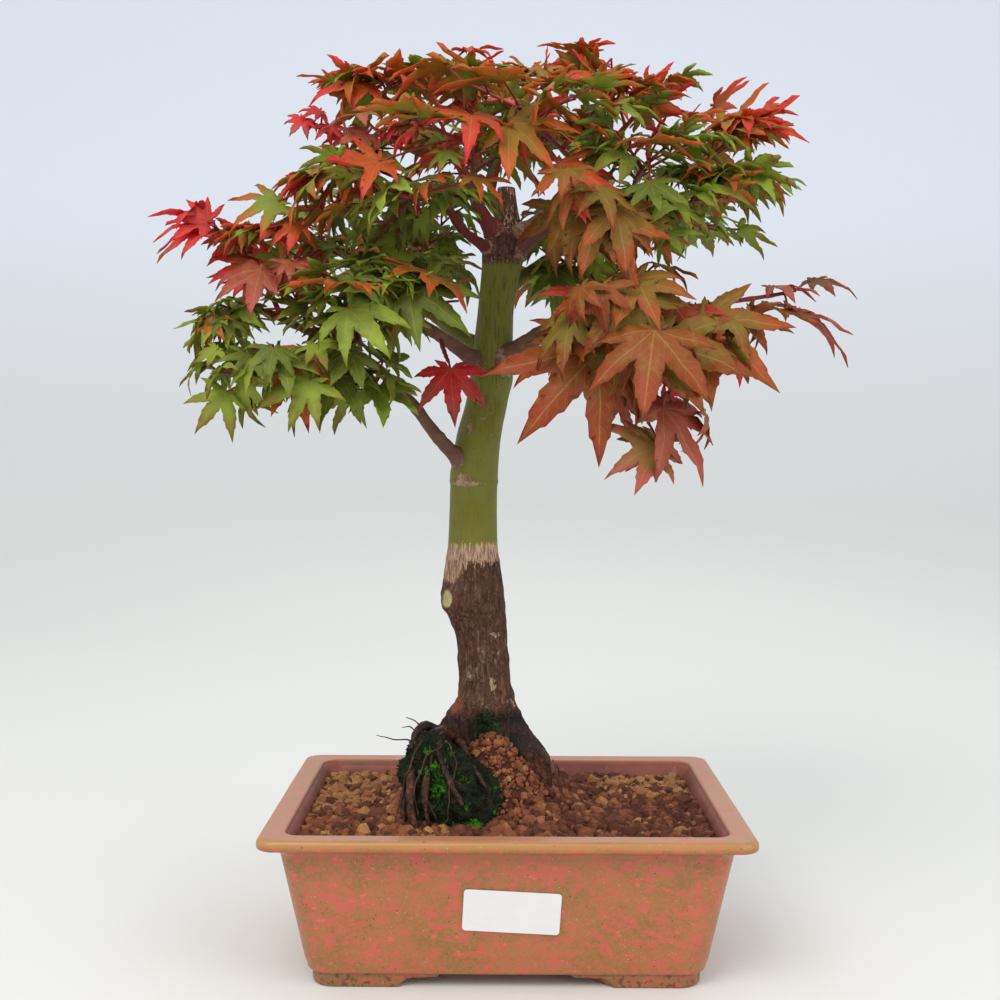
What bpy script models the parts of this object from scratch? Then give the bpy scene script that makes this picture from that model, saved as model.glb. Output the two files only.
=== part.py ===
"""Japanese maple bonsai in a glazed oblong pot.

Metres, +Z up. The origin is on the ground under the middle of the tree and its
pot, +X runs along the pot's long side and -Y is the tree's front.
"""
import math

import bmesh
import bpy
from mathutils import Matrix, Vector, noise
from mathutils.bvhtree import BVHTree

MM = 0.001
GAP = 0.0003            # left between neighbours that touch

# Pot
RIM_LENGTH = 0.2085
RIM_DEPTH = 0.152
POT_HEIGHT = 0.069
RIM_BAND = 0.005        # height of the rim's edge
RIM_WIDTH = 0.0107      # flat top of the rim, outside edge to opening
RIM_OVERHANG = 0.0085   # how far the rim stands out past the wall
NECK_HEIGHT = 0.006     # hollow curve between the rim and the wall
WALL_TAPER = 0.0098     # how far a wall leans in between neck and base
WALL = 0.006
FLOOR = 0.007
FUNNEL = 0.012          # depth over which the opening narrows to the wall's inside
RIM_CORNER = 0.007
WALL_CORNER = 0.010
EDGE_ROUND = 0.0015
CORNER_STEPS = 5

# Feet
FOOT_HEIGHT = 0.006
FOOT_SETBACK = 0.0013   # from the edge of the base
FOOT_THICK = 0.013
FRONT_ARCH = 0.0585     # width of the gap between front feet, at its top
SIDE_ARCH = 0.040       # the same, between the feet of a short side
ARCH_COVE = 0.0200      # how far a foot's end sweeps out below that
ARCH_STEPS = 6

# Drainage
DRAIN_SPACING = 0.090
DRAIN_RADIUS = 0.008
SCREEN_SIZE = 0.026
SCREEN_THICK = 0.001
SCREEN_CELLS = 9        # an odd number, so that bars and openings alternate
SCREEN_WIRE = 0.0012
WIRE_TAIL = 0.004       # how far a wire's ends reach past the drain hole

# Soil and moss
SOIL_DROP = 0.007       # rim's top to the soil along the walls
SOIL_MOUND = 0.021      # rise of the soil at the trunk
SOIL_SPREAD = (0.030, 0.027)
SOIL_CLEARANCE = 0.0005
MOUND_CENTRE = (-0.0235, -0.0205, 0.004)    # from the pot's middle and its rim's top
MOUND_RADII = (0.0200, 0.021, 0.0250)
MOUND_LUMPS = 0.30      # share of a radius
LUMP_SCALES = (1.6, 3.7)    # of the coarse and the fine lumps' noise
SOIL_RINGS = (0.85, 0.7, 0.55, 0.4, 0.25, 0.1)      # shares of the way from trunk to wall

# Label
LABEL_SIZE = (0.0410, 0.0190)
LABEL_THICK = 0.0003
LABEL_CENTRE = (0.002, 0.575)     # along the wall, and the share of its slope from base to neck
LABEL_TILT = math.radians(-3.0)

# Tree
TRUNK_HEIGHT = 0.257    # rim's top to the fork
TRUNK_GIRTH = 1.0       # times the radii below
TRUNK_SIDES = 14
TRUNK_BACK = 0.004      # trunk's axis behind the pot's middle
LEAF_SIZE = 1.0         # times the sizes given for the sprays
LEAF_THICK = 0.0008
TWIG_WIDTH = 0.0018
PETIOLE_WIDTH = 0.0011
PETIOLE_SHARE = 0.45    # of the leaf's middle lobe
PETIOLE_LIFT = 0.35     # upward part of a petiole's heading
BLADE_RISE = (0.12, 0.02)   # middle of a blade, forward of its joint and above it, in lengths
TWIG_BEND = 0.18        # of a twig's reach, by which its middle swings out
TWIG_BOWS = (0, 4, -4, 8, -8, 12, -12, 17, -17)     # sideways bows tried in turn, in mm
LEAF_ROOM = 0.0006      # kept clear all round a leaf

# Share of TRUNK_HEIGHT above the rim, axis along X in mm, radius in mm
TRUNK_PROFILE = (
    (-0.075, -9, 10.0), (0.00, -9, 14.0), (0.075, -10, 15.5), (0.121, -10.5, 14.6),
    (0.174, -10, 12.9), (0.216, -10.7, 11.5), (0.285, -12.2, 11.5), (0.319, -14.0, 12.7),
    (0.353, -15.5, 14.3), (0.413, -16.5, 13.0), (0.458, -16.6, 11.4), (0.565, -15.8, 10.9),
    (0.644, -14.0, 10.4), (0.715, -9.9, 9.4), (0.803, -7.5, 9.2), (0.883, -5.7, 8.1),
    (0.961, -3.0, 9.2), (0.993, -1.9, 9.8), (1.007, -1.2, 8.0), (1.025, 0.0, 4.9),
    (1.060, -1.0, 4.6), (1.094, -1.6, 4.3))

# Surface roots: points in mm from the trunk's axis and the rim's top, then the radius at each end
ROOTS = (
    (((2, -2, 42), (12, -5, 31), (24, -8, 19), (31, -10, 5), (33, -12, -10)), 7.0, 3.6),
    (((-3, -3, 40), (-11, -8, 31), (-21, -11, 22), (-29, -12, 8), (-33, -12, -9)), 6.6, 3.0),
    (((0, 3, 36), (-8, 14, 20), (-16, 22, 2), (-20, 26, -9)), 6.5, 3.2),
    (((2, 3, 34), (12, 12, 18), (20, 20, 0), (24, 24, -9)), 6.0, 3.0))

# Branches: share of the trunk's height where each leaves the axis, radii in mm at base and
# end, then the points after the first in mm from there
BRANCHES = {
    "branch_low_left": (0.583, 3.1, 1.5,
                        ((-15, -11, 14), (-29, -19, 32), (-44, -26, 47), (-59, -31, 56),
                         (-77, -34, 64), (-92, -36, 71))),
    "branch_mid_left": (0.764, 3.1, 1.4,
                        ((-19, -12, 13), (-35, -18, 23), (-47, -22, 36), (-59, -26, 46),
                         (-71, -30, 53), (-84, -34, 56))),
    "branch_back_left": (0.795, 3.6, 1.6,
                         ((-20, 18, 13), (-36, 34, 28), (-54, 48, 42), (-75, 58, 57))),
    "branch_right": (0.772, 4.2, 2.6,
                     ((14, -8, 9), (28, -14, 17), (45, -20, 22), (66, -25, 24), (87, -29, 25))),
    "branch_back_right": (0.896, 3.2, 1.5,
                          ((14, 20, 14), (31, 36, 27), (52, 50, 38), (73, 58, 49))),
    "branch_top_left": (0.988, 3.2, 1.6,
                        ((-11, -7, 15), (-19, -12, 32), (-30, -16, 46), (-44, -20, 56))),
    "branch_side_left": (0.970, 2.3, 1.3,
                         ((-17, -18, 8), (-27, -28, 20), (-42, -36, 27), (-55, -42, 32))),
    "branch_top_right": (0.988, 3.4, 1.5,
                         ((18, -7, 13), (31, -12, 23), (44, -16, 37), (47, -18, 55))),
    "branch_side_right": (0.950, 2.6, 1.4,
                          ((24, -16, 18), (42, -26, 25), (61, -32, 31), (80, -36, 38))),
    "branch_top_back": (0.992, 2.8, 1.5,
                        ((-3, 16, 16), (-7, 30, 35), (-3, 40, 57), (7, 46, 75)))}
BRANCH_POINTS = 15

# Sprays: branch, share of its length, reach in mm, pairs of leaves, middle lobe in mm, droop in
# degrees, autumn colour
SPRAYS = {
    "spray_low_left_end": ("branch_low_left", 1.00, (-15, -4, -5), 2, 28, 45, "green"),
    "spray_low_left_front": ("branch_low_left", 0.72, (-21, -34, -19), 2, 33, 60, "green"),
    "spray_low_left_under": ("branch_low_left", 0.36, (-33, -32, 6), 2, 32, 65, "green"),
    "spray_low_left_mottled": ("branch_low_left", 0.58, (1, -38, 16), 1, 34, 35, "green"),
    "spray_far_left": ("branch_low_left", 0.92, (-27, 3, 38), 2, 34, 62, "red"),
    "spray_by_trunk": ("branch_mid_left", 0.20, (4, -10, -12), 0, 28, 85, "red"),
    "spray_mid_left_end": ("branch_mid_left", 1.00, (-11, -8, 0), 2, 28, 35, "orange"),
    "spray_mid_left_low": ("branch_mid_left", 0.86, (-19, -22, -16), 1, 26, 50, "pink"),
    "spray_mid_left_front": ("branch_mid_left", 0.52, (3, -43, -8), 2, 30, 45, "green"),
    "spray_mid_left_inner": ("branch_mid_left", 0.30, (5, -39, 9), 1, 38, 50, "green"),
    "spray_back_left_end": ("branch_back_left", 1.00, (-25, 13, -1), 2, 32, 40, "green"),
    "spray_back_left_mid": ("branch_back_left", 0.62, (-6, 25, 23), 2, 34, 40, "green"),
    "spray_top_left_end": ("branch_top_left", 1.00, (-11, -18, 4), 2, 32, 30, "orange"),
    "spray_top_left_small": ("branch_top_left", 0.80, (-49, -7, -1), 2, 17, 30, "red"),
    "spray_top_left_pink": ("branch_top_left", 0.66, (-29, -52, -3), 1, 26, 40, "pink"),
    "spray_top_left_crown": ("branch_top_left", 0.90, (11, 14, 25), 2, 28, 30, "orange"),
    "spray_top_left_front": ("branch_top_left", 0.40, (2, -68, 6), 2, 34, 50, "orange"),
    "spray_side_left_end": ("branch_side_left", 1.00, (-14, -14, -6), 2, 34, 35, "orange"),
    "spray_side_left_front": ("branch_side_left", 0.62, (-8, -44, -10), 2, 30, 50, "green"),
    "spray_top_back_end": ("branch_top_back", 1.00, (8, 14, 15), 2, 32, 30, "orange"),
    "spray_top_back_left": ("branch_top_back", 0.60, (-24, 34, 22), 2, 32, 40, "green"),
    "spray_top_middle": ("branch_top_back", 0.42, (6, -14, 30), 2, 32, 30, "orange"),
    "spray_top_back_right": ("branch_top_back", 0.66, (40, 36, 18), 2, 32, 40, "green"),
    "spray_crown": ("branch_top_right", 1.00, (-10, 6, 25), 2, 26, 25, "orange"),
    "spray_top_right_end": ("branch_top_right", 0.86, (15, -13, 16), 2, 28, 30, "orange"),
    "spray_top_right_front": ("branch_top_right", 0.62, (-33, -64, 15), 2, 38, 45, "orange"),
    "spray_top_right_red": ("branch_top_right", 0.80, (44, 5, 17), 2, 26, 30, "red"),
    "spray_side_right_end": ("branch_side_right", 1.00, (22, -4, 13), 2, 32, 30, "orange"),
    "spray_side_right_low": ("branch_side_right", 0.92, (19, -17, -7), 2, 32, 40, "green"),
    "spray_side_right_front": ("branch_side_right", 0.70, (2, -41, 4), 2, 31, 40, "green"),
    "spray_side_right_dark": ("branch_side_right", 0.60, (16, -37, -12), 2, 31, 55, "green"),
    "spray_side_right_brown": ("branch_side_right", 0.40, (5, -58, -14), 2, 36, 60, "copper"),
    "spray_right_end": ("branch_right", 1.00, (46, -3, 7), 2, 34, 35, "pink"),
    "spray_right_copper": ("branch_right", 0.66, (14, -65, -17), 1, 45, 65, "copper"),
    "spray_right_inner": ("branch_right", 0.46, (12, -48, -18), 1, 42, 65, "copper"),
    "spray_right_top": ("branch_right", 0.56, (11, -59, 3), 1, 40, 60, "copper"),
    "spray_right_outer": ("branch_right", 0.84, (19, -38, -9), 2, 40, 45, "copper"),
    "spray_right_hanging": ("branch_right", 0.76, (4, -42, -50), 2, 32, 65, "pink"),
    "spray_back_right_end": ("branch_back_right", 1.00, (28, 18, -3), 2, 32, 40, "green"),
    "spray_back_right_mid": ("branch_back_right", 0.62, (27, 24, 17), 2, 34, 40, "green"),
    "spray_back_right_low": ("branch_back_right", 0.36, (12, 14, -8), 2, 36, 60, "green")}

# Lobes of a leaf, from its left to its right: angle from the middle one, share of its length
LOBES = ((-108, 0.52), (-52, 0.86), (0, 1.0), (52, 0.86), (108, 0.52))
LOBE_NOTCH = 0.30       # share of the length where two lobes part
LOBE_SAG = 0.22         # fall of a lobe's tip, as a share of the length
PAIR_SPREAD = math.radians(62)
TIP_SPREAD = math.radians(38)

COLOURS = {
    "glaze": ((0.30, 0.16, 0.075), 0.28),
    "screen": ((0.03, 0.06, 0.04), 0.6),
    "wire": ((0.45, 0.42, 0.38), 0.35),
    "soil": ((0.16, 0.055, 0.025), 0.95),
    "moss": ((0.02, 0.035, 0.01), 0.95),
    "bark": ((0.10, 0.11, 0.03), 0.7),
    "branch_bark": ((0.09, 0.04, 0.025), 0.6),
    "leaf_green": ((0.10, 0.17, 0.03), 0.5),
    "leaf_orange": ((0.50, 0.10, 0.02), 0.5),
    "leaf_copper": ((0.28, 0.085, 0.03), 0.5),
    "leaf_red": ((0.55, 0.02, 0.03), 0.5),
    "leaf_pink": ((0.52, 0.11, 0.09), 0.5),
    "label": ((0.85, 0.85, 0.84), 0.5)}


# ------------------------------------------------------------------ building blocks

def material(name):
    """The named finish, made once."""
    found = bpy.data.materials.get(name)
    if found:
        return found
    colour, roughness = COLOURS[name]
    made = bpy.data.materials.new(name)
    made.use_nodes = True
    shader = made.node_tree.nodes["Principled BSDF"]
    shader.inputs["Base Color"].default_value = (*colour, 1.0)
    shader.inputs["Roughness"].default_value = roughness
    shader.inputs["Metallic"].default_value = 1.0 if name == "wire" else 0.0
    return made


def add_object(name, mesh, finish, group="maple_bonsai"):
    """Link a mesh into the scene as a named object."""
    made = bpy.data.objects.new(name, mesh)
    if finish:
        mesh.materials.append(material(finish))
    bpy.data.collections[group].objects.link(made)
    return made


def from_bmesh(name, shape, finish, group="maple_bonsai"):
    bmesh.ops.recalc_face_normals(shape, faces=shape.faces)
    mesh = bpy.data.meshes.new(name)
    shape.to_mesh(mesh)
    shape.free()
    return add_object(name, mesh, finish, group)


def loft(name, rings, finish, group="maple_bonsai"):
    """A closed skin over rings with equal numbers of points, with a flat cap at each end."""
    shape = bmesh.new()
    loops = [[shape.verts.new(point) for point in ring] for ring in rings]
    for lower, upper in zip(loops, loops[1:]):
        for i in range(len(lower)):
            j = (i + 1) % len(lower)
            shape.faces.new((lower[i], lower[j], upper[j], upper[i]))
    shape.faces.new(loops[0])
    shape.faces.new(loops[-1])
    return from_bmesh(name, shape, finish, group)


def rounded_rectangle(half_x, half_y, radius, z):
    """Points of a rectangle with round corners, anticlockwise from its +X +Y corner."""
    points = []
    for quarter, (sx, sy) in enumerate(((1, 1), (-1, 1), (-1, -1), (1, -1))):
        for step in range(CORNER_STEPS + 1):
            angle = (quarter + step / CORNER_STEPS) * math.pi / 2
            points.append(Vector((sx * (half_x - radius) + radius * math.cos(angle),
                                  sy * (half_y - radius) + radius * math.sin(angle), z)))
    return points


def smooth_path(points, count):
    """Points at even steps along a Catmull-Rom curve through the given ones."""
    ends = [2 * points[0] - points[1]] + list(points) + [2 * points[-1] - points[-2]]
    path = []
    for step in range(count):
        place = step * (len(points) - 1) / (count - 1)
        i = min(int(place), len(points) - 2)
        t = place - i
        a, b, c, d = ends[i:i + 4]
        path.append(0.5 * (2 * b + (c - a) * t + (2 * a - 5 * b + 4 * c - d) * t ** 2
                           + (3 * b - a - 3 * c + d) * t ** 3))
    return path


def tube(name, path, radii, finish, group="maple_bonsai"):
    """A solid round bar along a path, made a mesh so that it can be cut or joined."""
    curve = bpy.data.curves.new(name, "CURVE")
    curve.dimensions = "3D"
    curve.bevel_depth = 1.0
    curve.bevel_resolution = 2
    curve.use_fill_caps = True
    spline = curve.splines.new("POLY")
    spline.points.add(len(path) - 1)
    for point, place, radius in zip(spline.points, path, radii):
        point.co = (*place, 1.0)
        point.radius = radius
    guide = bpy.data.objects.new(name + "_curve", curve)
    bpy.data.collections[group].objects.link(guide)
    evaluated = guide.evaluated_get(bpy.context.evaluated_depsgraph_get())
    mesh = bpy.data.meshes.new_from_object(evaluated)
    bpy.data.objects.remove(guide)
    shape = bmesh.new()
    shape.from_mesh(mesh)
    bpy.data.meshes.remove(mesh)
    bmesh.ops.remove_doubles(shape, verts=shape.verts, dist=0.00001)
    return from_bmesh(name, shape, finish, group)


def prism(name, outline, half_height, turn):
    """A cutter: a flat outline given a thickness and turned into place."""
    curve = bpy.data.curves.new(name, "CURVE")
    curve.dimensions = "2D"
    curve.fill_mode = "BOTH"
    curve.extrude = half_height
    spline = curve.splines.new("POLY")
    spline.points.add(len(outline) - 1)
    for point, (x, y) in zip(spline.points, outline):
        point.co = (x, y, 0.0, 1.0)
    spline.use_cyclic_u = True
    guide = bpy.data.objects.new(name + "_curve", curve)
    bpy.data.collections["cutters"].objects.link(guide)
    evaluated = guide.evaluated_get(bpy.context.evaluated_depsgraph_get())
    mesh = bpy.data.meshes.new_from_object(evaluated)
    bpy.data.objects.remove(guide)
    mesh.transform(turn)
    shape = bmesh.new()
    shape.from_mesh(mesh)
    bpy.data.meshes.remove(mesh)
    bmesh.ops.remove_doubles(shape, verts=shape.verts, dist=0.00001)
    return from_bmesh(name, shape, None, "cutters")


def block(name, size, centre):
    """A box-shaped cutter."""
    shape = bmesh.new()
    place = Matrix.Translation(centre) @ Matrix.Diagonal((*size, 1.0))
    bmesh.ops.create_cube(shape, size=1.0, matrix=place)
    return from_bmesh(name, shape, None, "cutters")


def boolean(target, other, operation):
    """Cut the other object from the target or join it on."""
    change = target.modifiers.new(f"{operation} {other.name}", "BOOLEAN")
    change.operation = operation
    change.solver = "EXACT"
    change.object = other
    other.hide_render = True
    other.display_type = "WIRE"


# ------------------------------------------------------------------ pot

def outer_inset(z):
    """How far the outside of the wall stands in from the rim's edge at a height."""
    neck = POT_HEIGHT - RIM_BAND - NECK_HEIGHT
    return RIM_OVERHANG + WALL_TAPER * (neck - z) / (neck - FOOT_HEIGHT)


def inner_inset(z):
    """The same for the inside of the pot, which opens out towards the rim."""
    throat = POT_HEIGHT - FUNNEL
    if z <= throat:
        return outer_inset(z) + WALL
    share = (z - throat) / FUNNEL
    return (1 - share) * (outer_inset(throat) + WALL) + share * RIM_WIDTH


def pot_ring(inset, z, corner):
    return rounded_rectangle(RIM_LENGTH / 2 - inset, RIM_DEPTH / 2 - inset, corner, z)


def make_pot():
    neck = POT_HEIGHT - RIM_BAND - NECK_HEIGHT
    band = POT_HEIGHT - RIM_BAND
    throat = POT_HEIGHT - FUNNEL
    floor = FOOT_HEIGHT + FLOOR
    rings = [pot_ring(outer_inset(FOOT_HEIGHT) + EDGE_ROUND, FOOT_HEIGHT, WALL_CORNER),
             pot_ring(outer_inset(FOOT_HEIGHT), FOOT_HEIGHT + EDGE_ROUND, WALL_CORNER),
             pot_ring(outer_inset(neck), neck, WALL_CORNER)]
    for angle in (30, 60, 85):
        out = 1 - math.cos(math.radians(angle))
        up = math.sin(math.radians(angle))
        inset = RIM_OVERHANG + (EDGE_ROUND - RIM_OVERHANG) * out
        rings.append(pot_ring(inset, neck + NECK_HEIGHT * up, WALL_CORNER))
    rings += [pot_ring(0.0, band + EDGE_ROUND, RIM_CORNER),
              pot_ring(0.0, POT_HEIGHT - EDGE_ROUND, RIM_CORNER),
              pot_ring(EDGE_ROUND, POT_HEIGHT, RIM_CORNER),
              pot_ring(RIM_WIDTH - EDGE_ROUND, POT_HEIGHT, RIM_CORNER),
              pot_ring(inner_inset(POT_HEIGHT - EDGE_ROUND), POT_HEIGHT - EDGE_ROUND, RIM_CORNER),
              pot_ring(inner_inset(throat), throat, RIM_CORNER),
              pot_ring(inner_inset(floor), floor, RIM_CORNER)]
    pot = loft("pot", rings, "glaze")
    boolean(pot, make_feet(), "UNION")
    for side in (-1, 1):
        shape = bmesh.new()
        place = Matrix.Translation((side * DRAIN_SPACING / 2, 0, FOOT_HEIGHT + FLOOR / 2))
        bmesh.ops.create_cone(shape, cap_ends=True, segments=20, radius1=DRAIN_RADIUS,
                              radius2=DRAIN_RADIUS, depth=2 * FLOOR, matrix=place)
        boolean(pot, from_bmesh(f"drain_cutter_{side}", shape, None, "cutters"), "DIFFERENCE")
    return pot


def arch_outline(width):
    """The gap between two feet: flat on top, its sides sweeping out to the ground."""
    right = [(width / 2 + ARCH_COVE, -FOOT_HEIGHT)]
    for step in range(ARCH_STEPS + 1):
        angle = math.pi / 2 * step / ARCH_STEPS
        right.append((width / 2 + ARCH_COVE * math.cos(angle), FOOT_HEIGHT * math.sin(angle)))
    return right + [(-x, z) for x, z in reversed(right)]


def make_feet():
    """A ring under the base, arched on all four sides into four L-shaped feet."""
    inset = outer_inset(FOOT_HEIGHT) + EDGE_ROUND + FOOT_SETBACK
    top = FOOT_HEIGHT + FLOOR / 2
    feet = loft("feet", [pot_ring(inset, 0.0, WALL_CORNER), pot_ring(inset, top, WALL_CORNER)],
                None, "cutters")
    inner = loft("feet_inside", [pot_ring(inset + FOOT_THICK, -FOOT_HEIGHT, EDGE_ROUND),
                                 pot_ring(inset + FOOT_THICK, FOOT_HEIGHT, EDGE_ROUND)],
                 None, "cutters")
    boolean(feet, inner, "DIFFERENCE")
    upright = Matrix.Rotation(math.radians(90), 4, "X")
    sideways = Matrix.Rotation(math.radians(90), 4, "Z") @ upright
    boolean(feet, prism("front_arch", arch_outline(FRONT_ARCH), RIM_DEPTH, upright), "DIFFERENCE")
    boolean(feet, prism("side_arch", arch_outline(SIDE_ARCH), RIM_LENGTH, sideways), "DIFFERENCE")
    return feet


def make_drainage():
    """A mesh screen over each drain hole and the wire staple that holds it."""
    cell = SCREEN_SIZE / SCREEN_CELLS
    floor = FOOT_HEIGHT + FLOOR
    for side, hand in ((-1, "left"), (1, "right")):
        x = side * DRAIN_SPACING / 2
        shape = bmesh.new()
        bmesh.ops.create_grid(shape, x_segments=SCREEN_CELLS, y_segments=SCREEN_CELLS,
                              size=SCREEN_SIZE / 2)
        openings = []
        for face in shape.faces:
            column, row = (int((c + SCREEN_SIZE / 2) / cell) for c in face.calc_center_median()[:2])
            if column % 2 and row % 2:
                openings.append(face)
        bmesh.ops.delete(shape, geom=openings, context="FACES_ONLY")
        screen = from_bmesh(f"drain_screen_{hand}", shape, "screen")
        screen.location = (x, 0, floor + GAP + SCREEN_THICK / 2)
        wall = screen.modifiers.new("thickness", "SOLIDIFY")
        wall.thickness = SCREEN_THICK
        wall.offset = 0.0

        radius = SCREEN_WIRE / 2
        top = floor + SCREEN_THICK + 2 * GAP + radius
        under = FOOT_HEIGHT - GAP - radius
        tail = DRAIN_RADIUS + WIRE_TAIL
        staple = [(-tail, under), (-cell, under), (-cell, top), (cell, top), (cell, under),
                  (tail, under)]
        path = [Vector((x + dx, cell, z)) for dx, z in staple]
        tube(f"screen_wire_{hand}", path, [radius] * len(path), "wire")


def make_label():
    """A blank label on the middle of the front wall, leaning with it."""
    neck = POT_HEIGHT - RIM_BAND - NECK_HEIGHT
    lean = math.atan2(WALL_TAPER, neck - FOOT_HEIGHT)
    z = FOOT_HEIGHT + LABEL_CENTRE[1] * (neck - FOOT_HEIGHT)
    off = GAP + LABEL_THICK / 2
    y = -(RIM_DEPTH / 2 - outer_inset(z)) - off * math.cos(lean)
    half_x, half_y = LABEL_SIZE[0] / 2, LABEL_SIZE[1] / 2
    rings = [rounded_rectangle(half_x, half_y, EDGE_ROUND, side * LABEL_THICK / 2)
             for side in (-1, 1)]
    label = loft("blank_label", rings, "label")
    facing = Matrix.Rotation(math.radians(90) + lean, 4, "X")
    place = Matrix.Translation((LABEL_CENTRE[0], y, z - off * math.sin(lean)))
    label.matrix_world = place @ facing @ Matrix.Rotation(LABEL_TILT, 4, "Z")
    return label


# ------------------------------------------------------------------ trunk, roots, branches

def trunk_axis(share):
    """A point on the trunk's axis, from its share of the trunk's height above the rim."""
    for (s0, x0, _), (s1, x1, _) in zip(TRUNK_PROFILE, TRUNK_PROFILE[1:]):
        if share <= s1:
            break
    x = x0 + (x1 - x0) * (share - s0) / (s1 - s0)
    return Vector((x * MM, TRUNK_BACK, POT_HEIGHT + share * TRUNK_HEIGHT))


def trunk_rings(extra):
    """The trunk's sections, with extra added to each radius."""
    rings = []
    for share, _, radius in TRUNK_PROFILE:
        centre = trunk_axis(share)
        reach = radius * MM * TRUNK_GIRTH + extra
        rings.append([centre + reach * Vector((math.cos(a), math.sin(a), 0))
                      for a in (2 * math.pi * i / TRUNK_SIDES for i in range(TRUNK_SIDES))])
    for ring, way in ((rings[0], -extra), (rings[-1], extra)):
        for point in ring:
            point.z += way
    return rings


def root_path(points):
    base = Vector((TRUNK_PROFILE[2][1] * MM, TRUNK_BACK, POT_HEIGHT))
    return smooth_path([base + Vector(p) * MM for p in points], 7)


def make_trunk(name, finish, group, extra):
    """Trunk, cut snag and surface roots as one solid, with extra added all over it."""
    trunk = loft(name, trunk_rings(extra), finish, group)
    for number, (points, thick, thin) in enumerate(ROOTS):
        path = root_path(points)
        radii = [(thick + (thin - thick) * i / (len(path) - 1)) * MM * TRUNK_GIRTH + extra
                 for i in range(len(path))]
        boolean(trunk, tube(f"{name}_root_{number}", path, radii, None, "cutters"), "UNION")
    return trunk


def branch_path(name):
    """Centre line of a branch, and its radius at each point."""
    share, thick, thin, steps = BRANCHES[name]
    base = trunk_axis(share)
    path = smooth_path([base] + [base + Vector(step) * MM for step in steps], BRANCH_POINTS)
    radii = [(thick + (thin - thick) * i / (BRANCH_POINTS - 1)) * MM for i in range(BRANCH_POINTS)]
    return path, radii


def make_branches(trunk_space):
    for name in BRANCHES:
        path, radii = branch_path(name)
        branch = tube(name, path, radii, "branch_bark")
        boolean(branch, trunk_space, "DIFFERENCE")


# ------------------------------------------------------------------ soil and moss

def soil_height(x, y):
    """Top of the soil: level along the walls, heaped up round the trunk."""
    base = trunk_axis(0.0)
    across = ((x - base.x) / SOIL_SPREAD[0]) ** 2 + ((y - base.y) / SOIL_SPREAD[1]) ** 2
    return POT_HEIGHT - SOIL_DROP + SOIL_MOUND * math.exp(-across)


def make_soil(trunk_space, mound_space):
    floor = FOOT_HEIGHT + FLOOR + GAP
    edge = POT_HEIGHT - SOIL_DROP
    rings = [pot_ring(inner_inset(z) + SOIL_CLEARANCE, z, RIM_CORNER)
             for z in (floor, POT_HEIGHT - FUNNEL, edge)]
    heart = trunk_axis(0.0)
    for share in SOIL_RINGS:
        ring = []
        for point in rings[2]:
            x = heart.x + share * (point.x - heart.x)
            y = heart.y + share * (point.y - heart.y)
            ring.append(Vector((x, y, soil_height(x, y))))
        rings.append(ring)
    soil = loft("soil_bed", rings, "soil")
    boolean(soil, trunk_space, "DIFFERENCE")
    boolean(soil, mound_space, "DIFFERENCE")
    staple_top = FOOT_HEIGHT + FLOOR + SCREEN_THICK + SCREEN_WIRE + 3 * GAP
    side = SCREEN_SIZE + 2 * SOIL_CLEARANCE
    for way in (-1, 1):
        room = block(f"screen_room_{way}", (side, side, 2 * (staple_top - floor) + 2 * GAP),
                     (way * DRAIN_SPACING / 2, 0, floor))
        boolean(soil, room, "DIFFERENCE")
    return soil


def make_mound(name, finish, group, extra):
    """The mossy root lump: a lumpy ball, with extra added all over it."""
    shape = bmesh.new()
    bmesh.ops.create_icosphere(shape, subdivisions=3, radius=1.0)
    centre = Vector(MOUND_CENTRE) + Vector((0, 0, POT_HEIGHT))
    for vert in shape.verts:
        way = vert.co.normalized()
        coarse, fine = (noise.noise(way * scale) for scale in LUMP_SCALES)
        swell = 1 + MOUND_LUMPS * (coarse + fine / 2)
        reach = Vector([w * r for w, r in zip(way, MOUND_RADII)]) * swell
        vert.co = centre + reach + way * extra
    return from_bmesh(name, shape, finish, group)


# ------------------------------------------------------------------ leaves

class Sheet:
    """A thin sheet of connected faces, made solid by a thickness."""

    def __init__(self):
        self.points = []
        self.faces = []

    def add(self, points):
        first = len(self.points)
        self.points += points
        return list(range(first, len(self.points)))

    def slab(self, first, last, room):
        """The faces from first to before last as two-sided skins, room wider all round."""
        points, faces = [], []
        used = sorted({i for face in self.faces[first:last] for i in face})
        middle = sum((self.points[i] for i in used), Vector()) / len(used)
        for face in self.faces[first:last]:
            corners = [self.points[i] for i in face]
            normal = (corners[1] - corners[0]).cross(corners[2] - corners[0]).normalized()
            for side in (-1, 1):
                first = len(points)
                for corner in corners:
                    out = (corner - middle).normalized() * room
                    points.append(corner + out + normal * side * (LEAF_THICK / 2 + room))
                faces.append(list(range(first, first + len(corners))))
            below = len(points) - 2 * len(corners)
            above = len(points) - len(corners)
            for i in range(len(corners)):
                j = (i + 1) % len(corners)
                faces.append([below + i, below + j, above + j, above + i])
        return BVHTree.FromPolygons(points, faces)


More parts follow.
